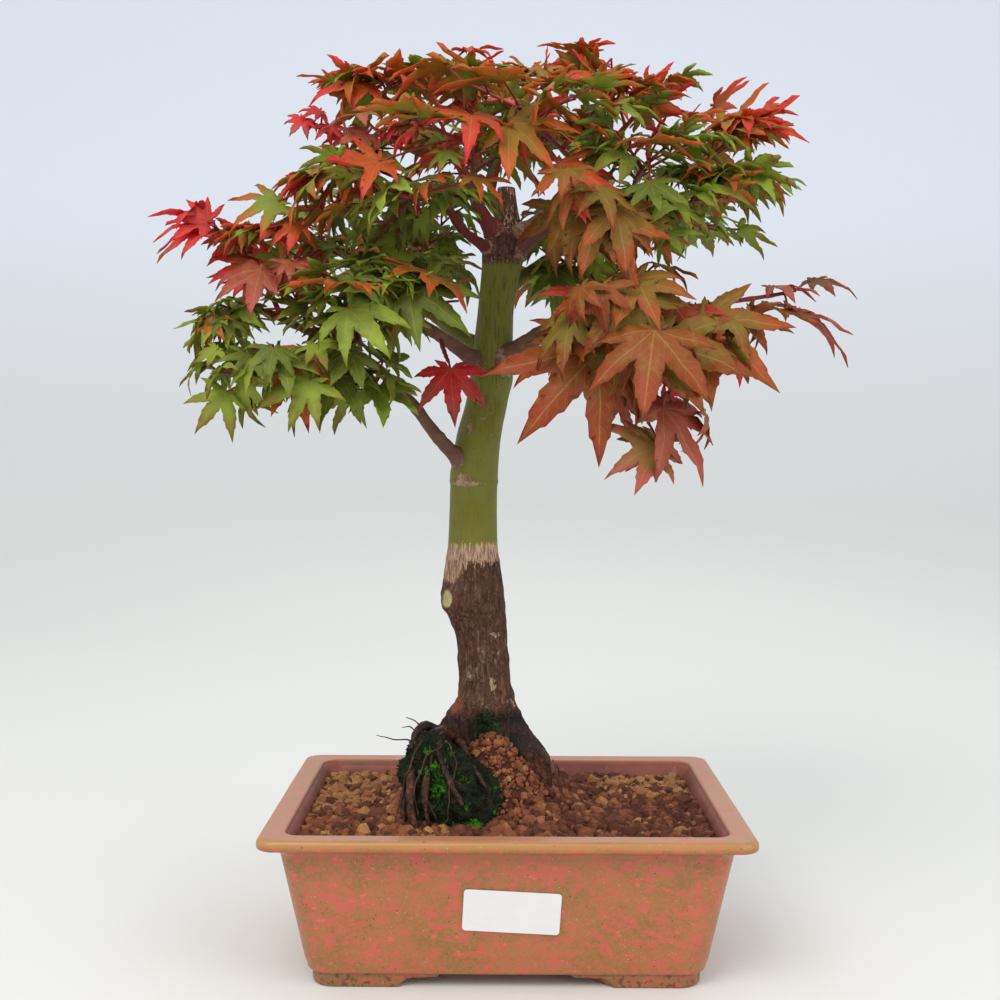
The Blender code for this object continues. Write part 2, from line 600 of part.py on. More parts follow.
def add_leaf(sheet, stem, heading, up, size, droop):
    """Petiole and blade from a stem's two points. Returns the number of its first face."""
    first_face = len(sheet.faces)
    middle = (sheet.points[stem[0]] + sheet.points[stem[1]]) / 2
    side = heading.cross(up).normalized()
    lift = (heading + PETIOLE_LIFT * up).normalized()
    joint = middle + lift * (PETIOLE_SHARE * size)
    half = side * (PETIOLE_WIDTH / 2)
    base = sheet.add([joint - half, joint + half])
    sheet.faces.append((stem[0], stem[1], base[1], base[0]))

    turn = Matrix.Rotation(-droop, 3, side)
    forward = turn @ heading
    normal = side.cross(forward)
    outline = [base[0]]
    for number, (angle, share) in enumerate(LOBES):
        angle = math.radians(angle)
        if number:
            between = (angle + math.radians(LOBES[number - 1][0])) / 2
            notch = forward * math.cos(between) + side * math.sin(between)
            outline += sheet.add([joint + notch * (LOBE_NOTCH * size)])
        way = forward * math.cos(angle) + side * math.sin(angle)
        tip = joint + way * (share * size) - normal * (LOBE_SAG * share ** 2 * size)
        outline += sheet.add([tip])
    outline.append(base[1])
    ahead, above = BLADE_RISE
    centre = sheet.add([joint + forward * (ahead * size) + normal * (above * size)])[0]
    for i in range(len(outline)):
        sheet.faces.append((outline[i], centre, outline[(i + 1) % len(outline)]))
    return first_face


def spray_path(name, bow):
    """A twig's centre line from its branch, bowed sideways, and its sideways direction."""
    branch, share, reach, pairs = SPRAYS[name][:4]
    path, radii = branch_path(branch)
    place = share * (BRANCH_POINTS - 1)
    i = min(int(place), BRANCH_POINTS - 2)
    along = (path[i + 1] - path[i]).normalized()
    foot = path[i].lerp(path[i + 1], place - i)
    reach = Vector(reach) * MM
    out = along if share == 1.0 else (reach - along * reach.dot(along)).normalized()
    start = foot + out * ((0 if share == 1.0 else radii[i]) + 2 * GAP)
    end = foot + reach
    side = (end - start).cross(Vector((0, 0, 1))).normalized()
    bend = start.lerp(end, 0.5) + out * (TWIG_BEND * reach.length) + side * bow
    steps = 2 * pairs + 3
    return [start * (1 - t) ** 2 + bend * 2 * t * (1 - t) + end * t ** 2
            for t in (step / (steps - 1) for step in range(steps))], side


def grow_twig(name, bow):
    """The twig's ribbon, with a short stretch at each leaf pair for the petioles."""
    path, side = spray_path(name, bow)
    half = side * (TWIG_WIDTH / 2)
    final_pair = 2 * SPRAYS[name][3]
    sheet = Sheet()
    pairs = []
    last = sheet.add([path[0] - half, path[0] + half])
    for number, point in enumerate(path[1:], 1):
        along = (path[number] - path[number - 1]).normalized()
        paired = number % 2 == 0 and number <= final_pair
        places = [point]
        if paired:
            places = [point - along * (PETIOLE_WIDTH / 2), point + along * (PETIOLE_WIDTH / 2)]
        for place in places:
            new = sheet.add([place - half, place + half])
            sheet.faces.append((last[0], last[1], new[1], new[0]))
            if paired and place is places[-1]:
                pairs.append((last, new, along))
            last = new
    return sheet, pairs, (last, along), side


def fits(slab, others):
    return not any(slab.overlap(other) for other in others)


# Poses tried in turn for a leaf: turn about the twig, extra droop, share of its size
POSES = [(math.radians(turn), math.radians(droop), share)
         for share in (1.0, 0.85, 0.7, 0.55, 0.42)
         for turn in (0, 18, -18, 36, -36)
         for droop in (0, 22, -22, 44, -44)]


def place_leaf(sheet, stem, heading, up, size, droop, own_twig, taken):
    """Add a leaf in the first pose that has room, and leave it out if none has."""
    for turn, extra, share in POSES:
        before = len(sheet.points)
        way = Matrix.Rotation(turn, 3, up) @ heading
        first = add_leaf(sheet, stem, way, up, size * share, droop + extra)
        petiole = sheet.slab(first, first + 1, LEAF_ROOM)
        blade = sheet.slab(first + 1, None, LEAF_ROOM)
        if fits(blade, taken + [own_twig]) and fits(petiole, taken):
            taken += [petiole, blade]
            return
        del sheet.points[before:]
        del sheet.faces[first:]


def wood_slab(name):
    """The skin of a finished wooden piece."""
    made = bpy.data.objects[name].evaluated_get(bpy.context.evaluated_depsgraph_get())
    mesh = made.to_mesh()
    place = made.matrix_world
    points = [place @ vert.co for vert in mesh.vertices]
    return BVHTree.FromPolygons(points, [tuple(face.vertices) for face in mesh.polygons])


def make_sprays():
    """All twigs first, then each one's leaves from its tip back, each where there is room."""
    wood = [wood_slab(name) for name in ("trunk", *BRANCHES)]
    twigs, skins = {}, {}
    for name in SPRAYS:
        for bow in TWIG_BOWS:
            twigs[name] = grow_twig(name, bow * MM)
            skins[name] = twigs[name][0].slab(0, None, LEAF_ROOM)
            others = [skins[other] for other in skins if other != name]
            if fits(skins[name], wood + others):
                break
    leaves = []
    for name, (_, _, _, _, size, droop, colour) in SPRAYS.items():
        sheet, pairs, (end, forward), side = twigs[name]
        taken = wood + leaves + [skins[other] for other in skins if other != name]
        known = len(taken)
        size *= MM * LEAF_SIZE
        droop = math.radians(droop)
        up = side.cross(forward).normalized()
        place_leaf(sheet, end, forward, up, size, droop, skins[name], taken)
        spread = TIP_SPREAD
        for low, high, along in reversed(pairs):
            up = side.cross(along).normalized()
            for hand, stem in ((-1, (low[0], high[0])), (1, (high[1], low[1]))):
                heading = Matrix.Rotation(-hand * spread, 3, up) @ along
                place_leaf(sheet, stem, heading, up, size, droop, skins[name], taken)
            spread = PAIR_SPREAD
        leaves += taken[known:]
        mesh = bpy.data.meshes.new(name)
        mesh.from_pydata(sheet.points, [], sheet.faces)
        spray = add_object(name, mesh, "leaf_" + colour)
        skin = spray.modifiers.new("thickness", "SOLIDIFY")
        skin.thickness = LEAF_THICK
        skin.offset = 0.0


# ------------------------------------------------------------------ the whole

def clear_scene():
    for old in list(bpy.data.objects):
        bpy.data.objects.remove(old)
    for group in ("maple_bonsai", "cutters"):
        bpy.context.scene.collection.children.link(bpy.data.collections.new(group))


def main():
    clear_scene()
    make_pot()
    make_drainage()
    make_label()
    make_trunk("trunk", "bark", "maple_bonsai", 0.0)
    trunk_space = make_trunk("trunk_space", None, "cutters", GAP)
    mound_space = make_mound("mound_space", None, "cutters", GAP)
    mound = make_mound("moss_mound", "moss", "maple_bonsai", 0.0)
    boolean(mound, trunk_space, "DIFFERENCE")
    make_soil(trunk_space, mound_space)
    make_branches(trunk_space)
    bpy.context.view_layer.update()
    make_sprays()


main()
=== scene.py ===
"""Looks of a Japanese maple bonsai in a glazed oblong pot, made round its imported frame.

Metres, +Z up. The tree's front faces -Y, and the pot's long side runs along X.
"""
import math

import bmesh
import bpy
import numpy as np
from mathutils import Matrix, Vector


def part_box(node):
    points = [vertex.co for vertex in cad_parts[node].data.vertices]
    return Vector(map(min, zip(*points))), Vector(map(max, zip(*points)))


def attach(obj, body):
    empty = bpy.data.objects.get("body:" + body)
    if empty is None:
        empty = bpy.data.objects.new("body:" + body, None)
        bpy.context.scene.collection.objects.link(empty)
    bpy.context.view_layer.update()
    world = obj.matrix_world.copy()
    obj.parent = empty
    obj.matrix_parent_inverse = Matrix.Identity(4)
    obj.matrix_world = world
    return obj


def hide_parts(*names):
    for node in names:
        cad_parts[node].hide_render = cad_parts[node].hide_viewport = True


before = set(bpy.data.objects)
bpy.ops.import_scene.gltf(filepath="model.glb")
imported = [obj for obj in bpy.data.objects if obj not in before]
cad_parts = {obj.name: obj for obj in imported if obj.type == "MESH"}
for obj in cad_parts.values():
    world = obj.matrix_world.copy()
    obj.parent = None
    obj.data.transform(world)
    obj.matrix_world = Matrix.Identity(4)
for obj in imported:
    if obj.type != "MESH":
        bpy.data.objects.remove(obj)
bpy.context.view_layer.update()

bl_info = {
    "name": "Maple bonsai",
    "version": (1, 0, 0),
    "blender": (4, 5, 0),
    "location": "View3D > Sidebar > Bonsai",
    "description": "Makes the finished surfaces of a potted maple bonsai",
    "category": "Add Mesh",
}

MM = 0.001
BODY = "root"

# Pot, from the frame's box and the maker's own sections
HALF_LENGTH, HALF_DEPTH, RIM_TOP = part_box("pot")[1]
RIM_BAND = 5.0 * MM
RIM_WIDTH = 10.7 * MM
RIM_OVERHANG = 8.5 * MM
NECK_HEIGHT = 6.0 * MM
WALL_TAPER = 9.8 * MM
WALL = 6.0 * MM
FLOOR = 7.0 * MM
FUNNEL = 12.0 * MM
RIM_CORNER = 7.0 * MM
WALL_CORNER = 10.0 * MM
FOOT_HEIGHT = 6.0 * MM
FOOT_THICK = 13.0 * MM
FOOT_WALL = 9.0 * MM        # of the ring that the feet are cut from
FOOT_SETBACK = 1.7 * MM     # behind the wall
FRONT_GAP = 29.2 * MM       # half the width between the front feet
SIDE_GAP = 20.0 * MM        # the same on a short side
DRAIN_OFFSET = 45.0 * MM
DRAIN_RADIUS = 8.0 * MM
CORNER_STEPS = 14
SIDE_STEPS = 22

# Soil and tree
SOIL_DROP = 7.0 * MM
SOIL_MOUND = 21.0 * MM
SOIL_SPREAD = (30.0 * MM, 27.0 * MM)
TRUNK_X = -9.0 * MM         # of the trunk's axis at the rim
TRUNK_BACK = 4.0 * MM
TRUNK_HEIGHT = 257.0 * MM
MOUND_CENTRE = np.array((-22.0, -20.5, 2.0)) * MM
MOUND_RADII = np.array((18.5, 19.0, 24.0)) * MM

CROTCH = (-6.0 * MM, -8.0 * MM)        # steep heap between the front roots: its middle,
CROTCH_SPREAD = (18.0 * MM, 10.0 * MM)  # spread and height
CROTCH_HEIGHT = 19.0 * MM
SOIL_WAVES = 0.9 * MM
SHAKEN_GRAINS = 520         # besides those in rows
CROTCH_GRAINS = 420
TUFTS = 5200

# Share of TRUNK_HEIGHT above the rim, axis along X in mm, radius in mm
TRUNK_PROFILE = (
    (-0.075, -9, 10.0), (0.00, -9, 12.5), (0.075, -10, 14.0), (0.121, -10.5, 14.0),
    (0.174, -10, 12.9), (0.216, -10.7, 11.5), (0.285, -12.2, 11.5), (0.319, -14.0, 12.7),
    (0.353, -15.5, 14.1), (0.413, -16.5, 13.0), (0.458, -16.6, 11.4), (0.565, -15.8, 10.9),
    (0.644, -14.0, 10.4), (0.715, -9.9, 9.6), (0.803, -7.5, 9.2), (0.883, -5.7, 8.3),
    (0.961, -3.0, 9.2), (0.993, -1.9, 9.4), (1.010, -0.8, 7.4), (1.025, 0.0, 5.3),
    (1.060, -1.0, 4.5), (1.094, -1.6, 4.1))

# Surface roots: direction round the trunk in degrees, width in degrees, then height above the
# rim and reach from the axis in mm, from the soil up
ROOTS = (
    (-16, 17, ((-20, 30), (2, 31.0), (12, 31.8), (20, 30.5), (26, 25), (33, 19), (40, 14),
               (52, 0))),
    (-158, 18, ((-20, 34), (0, 33), (10, 31.5), (18, 29), (26, 25), (33, 21), (40, 16),
                (52, 0))),
    (122, 20, ((-20, 31), (0, 28), (10, 23), (22, 17), (32, 13), (44, 0))),
    (48, 18, ((-20, 31), (0, 27), (10, 22), (22, 16), (32, 12), (44, 0))))

# Soft ovals on the trunk's front: middle in x and z, half sizes, all in mm, then weight
KNOBS = ((-27, 160, 5, 8, 0.9), (-13, 261, 2.0, 2.0, 0.5), (-22, 218, 5, 4, 1.3),
         (-1, 262, 6, 6, 1.4))
SCARS = ((-17.7, 239.5, 1.6, 4.0, 1.0), (-12, 243.5, 3.2, 0.7, 1.0), (-10, 240, 1.0, 0.7, 1.0),
         (-16, 230, 1.2, 1.0, 0.8), (-7, 121, 2.0, 4.0, 1.0), (-6.5, 144, 4.0, 2.6, 0.7),
         (-2, 265, 6, 3.5, 0.9), (-20, 262, 3.5, 5, 0.8), (2, 112, 3.5, 7.0, 0.5),
         (-21, 216, 4.5, 3.5, 0.9), (-18, 213.5, 7, 1.2, 0.8))
# Moss on the trunk between the front roots: real moss, near-black there as painted shade of the
# recess
MOSS_AND_RECESS_SHADE = ((-9.5, 100, 8, 12, 1.1), (4, 92, 9, 8, 0.5))
RAW = ((-24, 113, 5, 9, 0.95), (12, 100, 4, 5, 0.5))
WOUND = (-27.2, 160.5, 2.3, 4.6)
# Scarred rings round it: height and half height in mm, weight
RINGS = ((213.6, 0.9, 0.36), (265.5, 1.1, 0.34), (317, 4.0, 0.45))

# Branches: share of the trunk's height, radii in mm at base and end, points after the first in
# mm from there, then how olive and how red the bark is
BRANCHES = {
    "branch_low_left": (0.583, 3.1, 1.5, 0.10, 0.25,
                        ((-15, -11, 14), (-29, -19, 32), (-44, -26, 47), (-59, -31, 56),
                         (-77, -34, 64), (-92, -36, 71))),
    "branch_mid_left": (0.764, 3.1, 1.4, 0.0, 0.1,
                        ((-19, -12, 13), (-35, -18, 23), (-47, -22, 36), (-59, -26, 46),
                         (-71, -30, 53), (-84, -34, 56))),
    "branch_back_left": (0.795, 3.6, 1.6, 0.9, 0.0,
                         ((-20, 18, 13), (-36, 34, 28), (-54, 48, 42), (-75, 58, 57))),
    "branch_right": (0.772, 4.2, 2.6, 0.05, 0.0,
                     ((14, -8, 9), (28, -14, 17), (45, -20, 22), (66, -25, 24), (87, -29, 25))),
    "branch_back_right": (0.896, 3.2, 1.5, 0.6, 0.0,
                          ((14, 20, 14), (31, 36, 27), (52, 50, 38), (73, 58, 49))),
    "branch_top_left": (0.988, 3.2, 1.6, 0.1, 0.9,
                        ((-11, -7, 15), (-19, -12, 32), (-30, -16, 46), (-44, -20, 56))),
    "branch_side_left": (0.970, 2.3, 1.3, 0.0, 0.8,
                         ((-17, -18, 8), (-27, -28, 20), (-42, -36, 27), (-55, -42, 32))),
    "branch_top_right": (0.988, 3.4, 1.5, 0.35, 0.35,
                         ((18, -7, 13), (31, -12, 23), (44, -16, 37), (47, -18, 55))),
    "branch_side_right": (0.950, 2.6, 1.4, 0.1, 0.5,
                          ((24, -16, 18), (42, -26, 25), (61, -32, 31), (80, -36, 38))),
    "branch_top_back": (0.992, 2.8, 1.5, 0.5, 0.3,
                        ((-3, 16, 16), (-7, 30, 35), (-3, 40, 57), (7, 46, 75)))}
BRANCH_POINTS = 15

# Sprays: branch, share of its length, reach in mm, pairs of leaves, middle lobe in mm, droop in
# degrees, autumn colour
SPRAYS = {
    "spray_low_left_end": ("branch_low_left", 1.00, (-15, -4, -5), 2, 28, 45, "green"),
    "spray_low_left_front": ("branch_low_left", 0.72, (-21, -34, -19), 2, 33, 60, "green"),
    "spray_low_left_under": ("branch_low_left", 0.36, (-33, -32, 6), 2, 32, 65, "green"),
    "spray_low_left_mottled": ("branch_low_left", 0.58, (1, -38, 16), 1, 34, 35, "green"),
    "spray_far_left": ("branch_low_left", 0.92, (-27, 3, 38), 2, 34, 62, "red"),
    "spray_by_trunk": ("branch_mid_left", 0.20, (4, -10, -12), 0, 28, 85, "red"),
    "spray_mid_left_end": ("branch_mid_left", 1.00, (-11, -8, 0), 2, 28, 35, "orange"),
    "spray_mid_left_low": ("branch_mid_left", 0.86, (-19, -22, -16), 1, 26, 50, "pink"),
    "spray_mid_left_front": ("branch_mid_left", 0.52, (3, -43, -8), 2, 30, 45, "green"),
    "spray_mid_left_inner": ("branch_mid_left", 0.30, (5, -39, 9), 1, 38, 50, "green"),
    "spray_back_left_end": ("branch_back_left", 1.00, (-25, 13, -1), 2, 32, 40, "green"),
    "spray_back_left_mid": ("branch_back_left", 0.62, (-6, 25, 23), 2, 34, 40, "green"),
    "spray_top_left_end": ("branch_top_left", 1.00, (-11, -18, 4), 2, 32, 30, "orange"),
    "spray_top_left_small": ("branch_top_left", 0.80, (-49, -7, -1), 2, 17, 30, "red"),
    "spray_top_left_pink": ("branch_top_left", 0.66, (-29, -52, -3), 1, 26, 40, "pink"),
    "spray_top_left_crown": ("branch_top_left", 0.90, (11, 14, 25), 2, 28, 30, "orange"),
    "spray_top_left_front": ("branch_top_left", 0.40, (2, -68, 6), 2, 34, 50, "orange"),
    "spray_side_left_end": ("branch_side_left", 1.00, (-14, -14, -6), 2, 34, 35, "orange"),
    "spray_side_left_front": ("branch_side_left", 0.62, (-8, -44, -10), 2, 30, 50, "green"),
    "spray_top_back_end": ("branch_top_back", 1.00, (8, 14, 15), 2, 32, 30, "orange"),
    "spray_top_back_left": ("branch_top_back", 0.60, (-24, 34, 22), 2, 32, 40, "green"),
    "spray_top_middle": ("branch_top_back", 0.42, (6, -14, 30), 2, 32, 30, "orange"),
    "spray_top_back_right": ("branch_top_back", 0.66, (40, 36, 18), 2, 32, 40, "green"),
    "spray_crown": ("branch_top_right", 1.00, (-10, 6, 25), 2, 26, 25, "orange"),
    "spray_top_right_end": ("branch_top_right", 0.86, (15, -13, 16), 2, 28, 30, "orange"),
    "spray_top_right_front": ("branch_top_right", 0.62, (-33, -64, 15), 2, 38, 45, "orange"),
    "spray_top_right_red": ("branch_top_right", 0.80, (44, 5, 17), 2, 26, 30, "red"),
    "spray_side_right_end": ("branch_side_right", 1.00, (22, -4, 13), 2, 32, 30, "orange"),
    "spray_side_right_low": ("branch_side_right", 0.92, (19, -17, -7), 2, 32, 40, "green"),
    "spray_side_right_front": ("branch_side_right", 0.70, (2, -41, 4), 2, 31, 40, "green"),
    "spray_side_right_dark": ("branch_side_right", 0.60, (16, -37, -12), 2, 31, 55, "green"),
    "spray_side_right_brown": ("branch_side_right", 0.40, (5, -58, -14), 2, 36, 60, "copper"),
    "spray_right_end": ("branch_right", 1.00, (46, -3, 7), 0, 34, 35, "pink"),
    "spray_right_copper": ("branch_right", 0.66, (14, -65, -17), 1, 45, 65, "copper"),
    "spray_right_inner": ("branch_right", 0.46, (12, -48, -18), 1, 42, 65, "copper"),
    "spray_right_top": ("branch_right", 0.56, (11, -59, 3), 1, 40, 60, "copper"),
    "spray_right_outer": ("branch_right", 0.84, (19, -38, -9), 2, 40, 45, "copper"),
    "spray_right_hanging": ("branch_right", 0.76, (4, -42, -50), 2, 32, 65, "pink"),
    "spray_back_right_end": ("branch_back_right", 1.00, (28, 18, -3), 2, 32, 40, "green"),
    "spray_back_right_mid": ("branch_back_right", 0.62, (27, 24, 17), 2, 34, 40, "green"),
    "spray_back_right_low": ("branch_back_right", 0.36, (12, 14, -8), 2, 36, 60, "green")}

# Leaves set one by one: spray, joint and tip in mm, how far the face looks up rather than
# to the front, tone
SET_LEAVES = (
    ("spray_right_copper", (59, -86, 274), (77, -92, 236), 0.15, 0.3),
    ("spray_right_inner", (36, -70, 270), (3, -78, 233), 0.2, 0.9),
    ("spray_right_top", (47, -90, 290), (46, -94, 256), 0.2, 0.2),
    ("spray_right_outer", (78, -72, 283), (108, -78, 255), 0.3, 0.5),
    ("spray_side_right_brown", (35, -84, 322), (50, -92, 292), 0.2, 0.5),
    ("spray_side_right_brown", (55, -78, 320), (64, -84, 304), 0.4, 0.2),
    ("spray_top_right_front", (-1, -84, 358), (21, -92, 338), 0.35, 0.6),
    ("spray_top_right_front", (19, -78, 343), (46, -84, 326), 0.5, 0.9),
    ("spray_crown", (33, -14, 407), (15, -30, 402), 0.8, 0.6),
    ("spray_crown", (33, -14, 407), (47, -20, 410), 0.8, 0.9),
    ("spray_top_right_end", (41, -34, 388), (53, -40, 394), 0.6, 0.6),
    ("spray_side_right_end", (90, -44, 367), (115, -48, 377), 0.6, 0.6),
    ("spray_side_right_end", (90, -48, 365), (121, -60, 358), 0.7, 0.6),
    ("spray_side_right_low", (100, -52, 347), (121, -60, 337), 0.5, 0.9),
    ("spray_side_right_low", (74, -62, 337), (98, -74, 334), 0.6, 0.5),
    ("spray_side_right_front", (55, -84, 335), (59, -92, 317), 0.3, 0.2),
    ("spray_side_right_dark", (62, -80, 316), (75, -86, 310), 0.5, 0.2),
    ("spray_back_right_low", (22, 22, 316), (24, 14, 291), 0.3, 0.2),
    ("spray_right_hanging", (62, -74, 247), (78, -80, 216), 0.75, 0.2),
    ("spray_right_hanging", (59, -76, 231), (35, -84, 221), 0.4, 0.9),
    ("spray_right_end", (114, -34, 301), (134, -44, 296), 0.92, 0.2),
    ("spray_right_end", (121, -34, 292), (155, -40, 270), 0.95, 0.2),
    ("spray_right_end", (96, -46, 271), (98, -50, 258), 0.3, 0.6),
    # tone 0.6 gives this leaf the brighter red-to-pink kind: painted light, as for a leaf lit from
    # behind
    ("spray_by_trunk", (-26, -22, 265), (-26, -26, 238), 0.1, 0.6),
    ("spray_low_left_mottled", (-65, -78, 286), (-47, -88, 268), 0.35, 0.9),
    ("spray_mid_left_inner", (-42, -66, 295), (-17, -76, 276), 0.35, 0.2),
    ("spray_low_left_front", (-117, -62, 253), (-128, -68, 236), 0.25, 0.5),
    ("spray_low_left_front", (-81, -74, 257), (-91, -82, 235), 0.3, 0.5),
    ("spray_low_left_under", (-65, -66, 269), (-73, -74, 251), 0.3, 0.2),
    ("spray_far_left", (-129, -42, 325), (-153, -46, 322), 0.7, 0.2),
    ("spray_far_left", (-130, -44, 321), (-151, -52, 310), 0.7, 0.6),
    ("spray_far_left", (-129, -42, 326), (-139, -38, 336), 0.3, 0.2),
    ("spray_mid_left_low", (-103, -60, 303), (-123, -66, 287), 0.5, 0.2),
    ("spray_top_left_end", (-61, -44, 384), (-83, -56, 376), 0.6, 0.9),
    ("spray_top_left_small", (-83, -26, 377), (-92, -30, 371), 0.5, 0.2),
    ("spray_top_left_small", (-90, -28, 373), (-96, -32, 364), 0.4, 0.6),
    ("spray_top_left_small", (-79, -26, 371), (-79, -30, 361), 0.3, 0.2),
    ("spray_top_left_crown", (-46, -10, 395), (-55, -18, 400), 0.3, 0.9),
    ("spray_top_left_crown", (-21, 6, 413), (-5, -6, 410), 0.85, 0.9),
    ("spray_top_left_pink", (-58, -70, 357), (-69, -78, 350), 0.3, 0.2),
    ("spray_top_left_front", (-52, -84, 343), (-72, -92, 330), 0.5, 0.9),
    ("spray_top_left_front", (-25, -88, 346), (-28, -94, 334), 0.4, 0.2),
    ("spray_side_left_end", (-96, -58, 332), (-116, -66, 321), 0.5, 0.2),
    ("spray_side_left_end", (-87, -60, 322), (-101, -68, 314), 0.5, 0.9),
    ("spray_low_left_end", (-119, -40, 272), (-140, -46, 266), 0.6, 0.5),
    ("spray_low_left_end", (-86, -50, 288), (-106, -58, 292), 0.6, 0.9))

# The view: focal length in mm on a 36 mm sensor, place, and turn about X and Y in degrees
LENS = 47.016
EYE = (-3.895 * MM, -603.465 * MM, 231.565 * MM)
EYE_TILT = 90 - 2.42
EYE_ROLL = -0.28
# Lamps: name, place, width, power, colour
LAMPS = (("key", (-0.55, -0.95, 1.25), 0.9, 14.0, (1.0, 0.98, 0.95)),
         ("fill", (0.95, -0.75, 0.75), 0.9, 5.5, (0.95, 0.98, 1.0)),
         ("back", (0.15, 1.05, 0.95), 1.0, 2.5, (1.0, 1.0, 1.0)))
LAMP_TARGET = (0.0, 0.0, 0.22)
SKY = (0.90, 0.95, 1.0, 1.0)
SKY_STRENGTH = 0.96

# Where side shoots leave a spray's twig, by its colour, and their usual share of its length
SHOOTS = {"green": (0.28, 0.50, 0.70, 0.90), "orange": (0.28, 0.50, 0.70, 0.90),
          "copper": (0.35, 0.80), "red": (), "pink": (0.55,)}
SHOOT_REACH = 0.5
# Longer side twigs that fill the crown round the fork: spray and the ends in mm
LONG_SHOOTS = {
    "spray_back_left_mid": ((-61, 15, 336), (-42, 12, 347), (-30, 20, 330), (-28, 24, 314),
                            (-22, 22, 344)),
    "spray_back_left_end": ((-95, 2, 335), (-79, 10, 345)),
    "spray_side_left_front": ((-60, -30, 318), (-40, -34, 330)),
    "spray_side_left_end": ((-80, -26, 326),),
    "spray_mid_left_inner": ((-38, -14, 308), (-50, -20, 322)),
    "spray_mid_left_front": ((-79, -25, 316),),
    "spray_top_back_left": ((-26, 20, 350), (-50, 22, 356)),
    "spray_back_right_mid": ((28, 15, 344), (44, 8, 350), (66, 12, 340), (14, 20, 340)),
    "spray_back_right_low": ((24, 20, 328), (38, 10, 320), (52, 14, 312)),
    "spray_back_right_end": ((74, 20, 328),),
    "spray_top_back_right": ((52, 4, 360),),
    "spray_low_left_under": ((-84, -48, 282), (-60, -50, 280)),
    "spray_mid_left_end": ((-96, -34, 300),),
    "spray_side_right_front": ((44, -40, 352),)}
# Sprays keep below a dome: its top, its fall 100 mm out to a side, and its slope to the front.
# A leaf that stands too high hangs lower on its stalk, and one far too high is left out.
DOME_TOP = 408 * MM
DOME_FALL = 12 * MM
DOME_SLOPE = 0.28
STALK_GIVE = 12 * MM

TRUNK_ROOM = 11.0 * MM      # kept free of leaves each way before the trunk

# A leaf's lobes: angle from the middle one, share of its length
LOBES = ((-124, 0.34), (-82, 0.68), (-41, 0.93), (0, 1.0), (41, 0.93), (82, 0.68), (124, 0.34))
# Along a lobe, as shares of its length: stations of its vein, then points of its edge, which are
# a tooth and a notch in turn, each with its distance from the vein
VEIN = (0.31, 0.47, 0.64, 0.80, 1.0)
EDGE = ((0.42, 0.148), (0.46, 0.127), (0.58, 0.140), (0.62, 0.112), (0.75, 0.098),
        (0.78, 0.068), (0.90, 0.032))
NOTCH = 0.38                # share of the length where two lobes part
PETIOLE_SHARE = 0.45
BLADE_SHARE = {"green": 0.82, "orange": 0.80, "copper": 0.80, "red": 0.74, "pink": 0.74}
PAIR_SPREAD = math.radians(62)
TIP_SPREAD = math.radians(38)


def colour_setting(name, description, default):
    return bpy.props.FloatVectorProperty(name=name, description=description, default=default,
                                         subtype="COLOR", size=3, min=0.0, max=1.0)


class MaplePotSettings(bpy.types.PropertyGroup):
    """Sizes and colours of the pot and of what fills it."""
    glaze: colour_setting("Glaze", "Ground colour of the glaze", (0.300, 0.132, 0.036))
    speckle: colour_setting("Speckle", "Patches in the glaze", (0.56, 0.088, 0.070))
    rim_edge: colour_setting("Rim edge", "Where the glaze runs thin", (0.38, 0.185, 0.045))
    rim_top: colour_setting("Rim top", "Matt top of the rim", (0.37, 0.165, 0.080))
    inside: colour_setting("Inside", "Bare clay inside the rim", (0.25, 0.062, 0.034))
    soil: colour_setting("Soil", "Fired clay grains", (0.250, 0.082, 0.034))
    # Also colours the bed under the grains, where it is painted shade in the gaps between them
    soil_dark: colour_setting("Damp soil", "Damp grains", (0.090, 0.028, 0.015))
    soil_pale: colour_setting("Pale soil", "Dry tan grains", (0.50, 0.245, 0.090))
    moss: colour_setting("Moss", "Fresh moss", (0.060, 0.24, 0.010))
    grain: bpy.props.FloatProperty(name="Grain", description="Usual width of a soil grain",
                                   default=4.2 * MM, min=1.0 * MM, unit="LENGTH")


class MapleTreeSettings(bpy.types.PropertyGroup):
    """Sizes and colours of the tree."""
    young_bark: colour_setting("Young bark", "Smooth olive bark", (0.165, 0.155, 0.017))
    old_bark: colour_setting("Old bark", "Rough bark of the lower trunk", (0.100, 0.047, 0.030))
    cork: colour_setting("Cork", "Fibrous band and scars", (0.46, 0.29, 0.19))
    twig: colour_setting("Twig", "Twigs and leaf stalks", (0.16, 0.018, 0.014))
    green: colour_setting("Green leaves", "Summer green", (0.225, 0.285, 0.030))
    orange: colour_setting("Orange leaves", "Leaves at the crown", (0.62, 0.112, 0.018))
    copper: colour_setting("Copper leaves", "Large lower leaves", (0.35, 0.072, 0.016))
    red: colour_setting("Red leaves", "Leaves fully turned", (0.78, 0.042, 0.050))
    pink: colour_setting("Pink leaves", "Young salmon leaves", (0.54, 0.120, 0.085))
    leaf_size: bpy.props.FloatProperty(name="Leaf size", description="Times each spray's own size",
                                       default=1.0, min=0.5, max=1.5)
    leaf_thickness: bpy.props.FloatProperty(name="Leaf thickness", description="Of a blade",
                                            default=0.22 * MM, min=0.05 * MM, unit="LENGTH")


# ------------------------------------------------------------------ meshes

def grid_faces(rows, columns, closed=True):
    """Quads over a grid of points, row after row; closed joins each row's end to its start."""
    row = np.arange(rows - 1)[:, None] * columns
    column = np.arange(columns if closed else columns - 1)[None, :]
    after = (column + 1) % columns
    corners = (row + column, row + after, row + columns + after, row + columns + column)
    return np.stack(corners, -1).reshape(-1, 4)


def repeat_faces(faces, copies, points):
    """The same faces over each copy of a shape that has so many points."""
    return (faces[None] + (np.arange(copies) * points)[:, None, None]).reshape(-1, faces.shape[1])


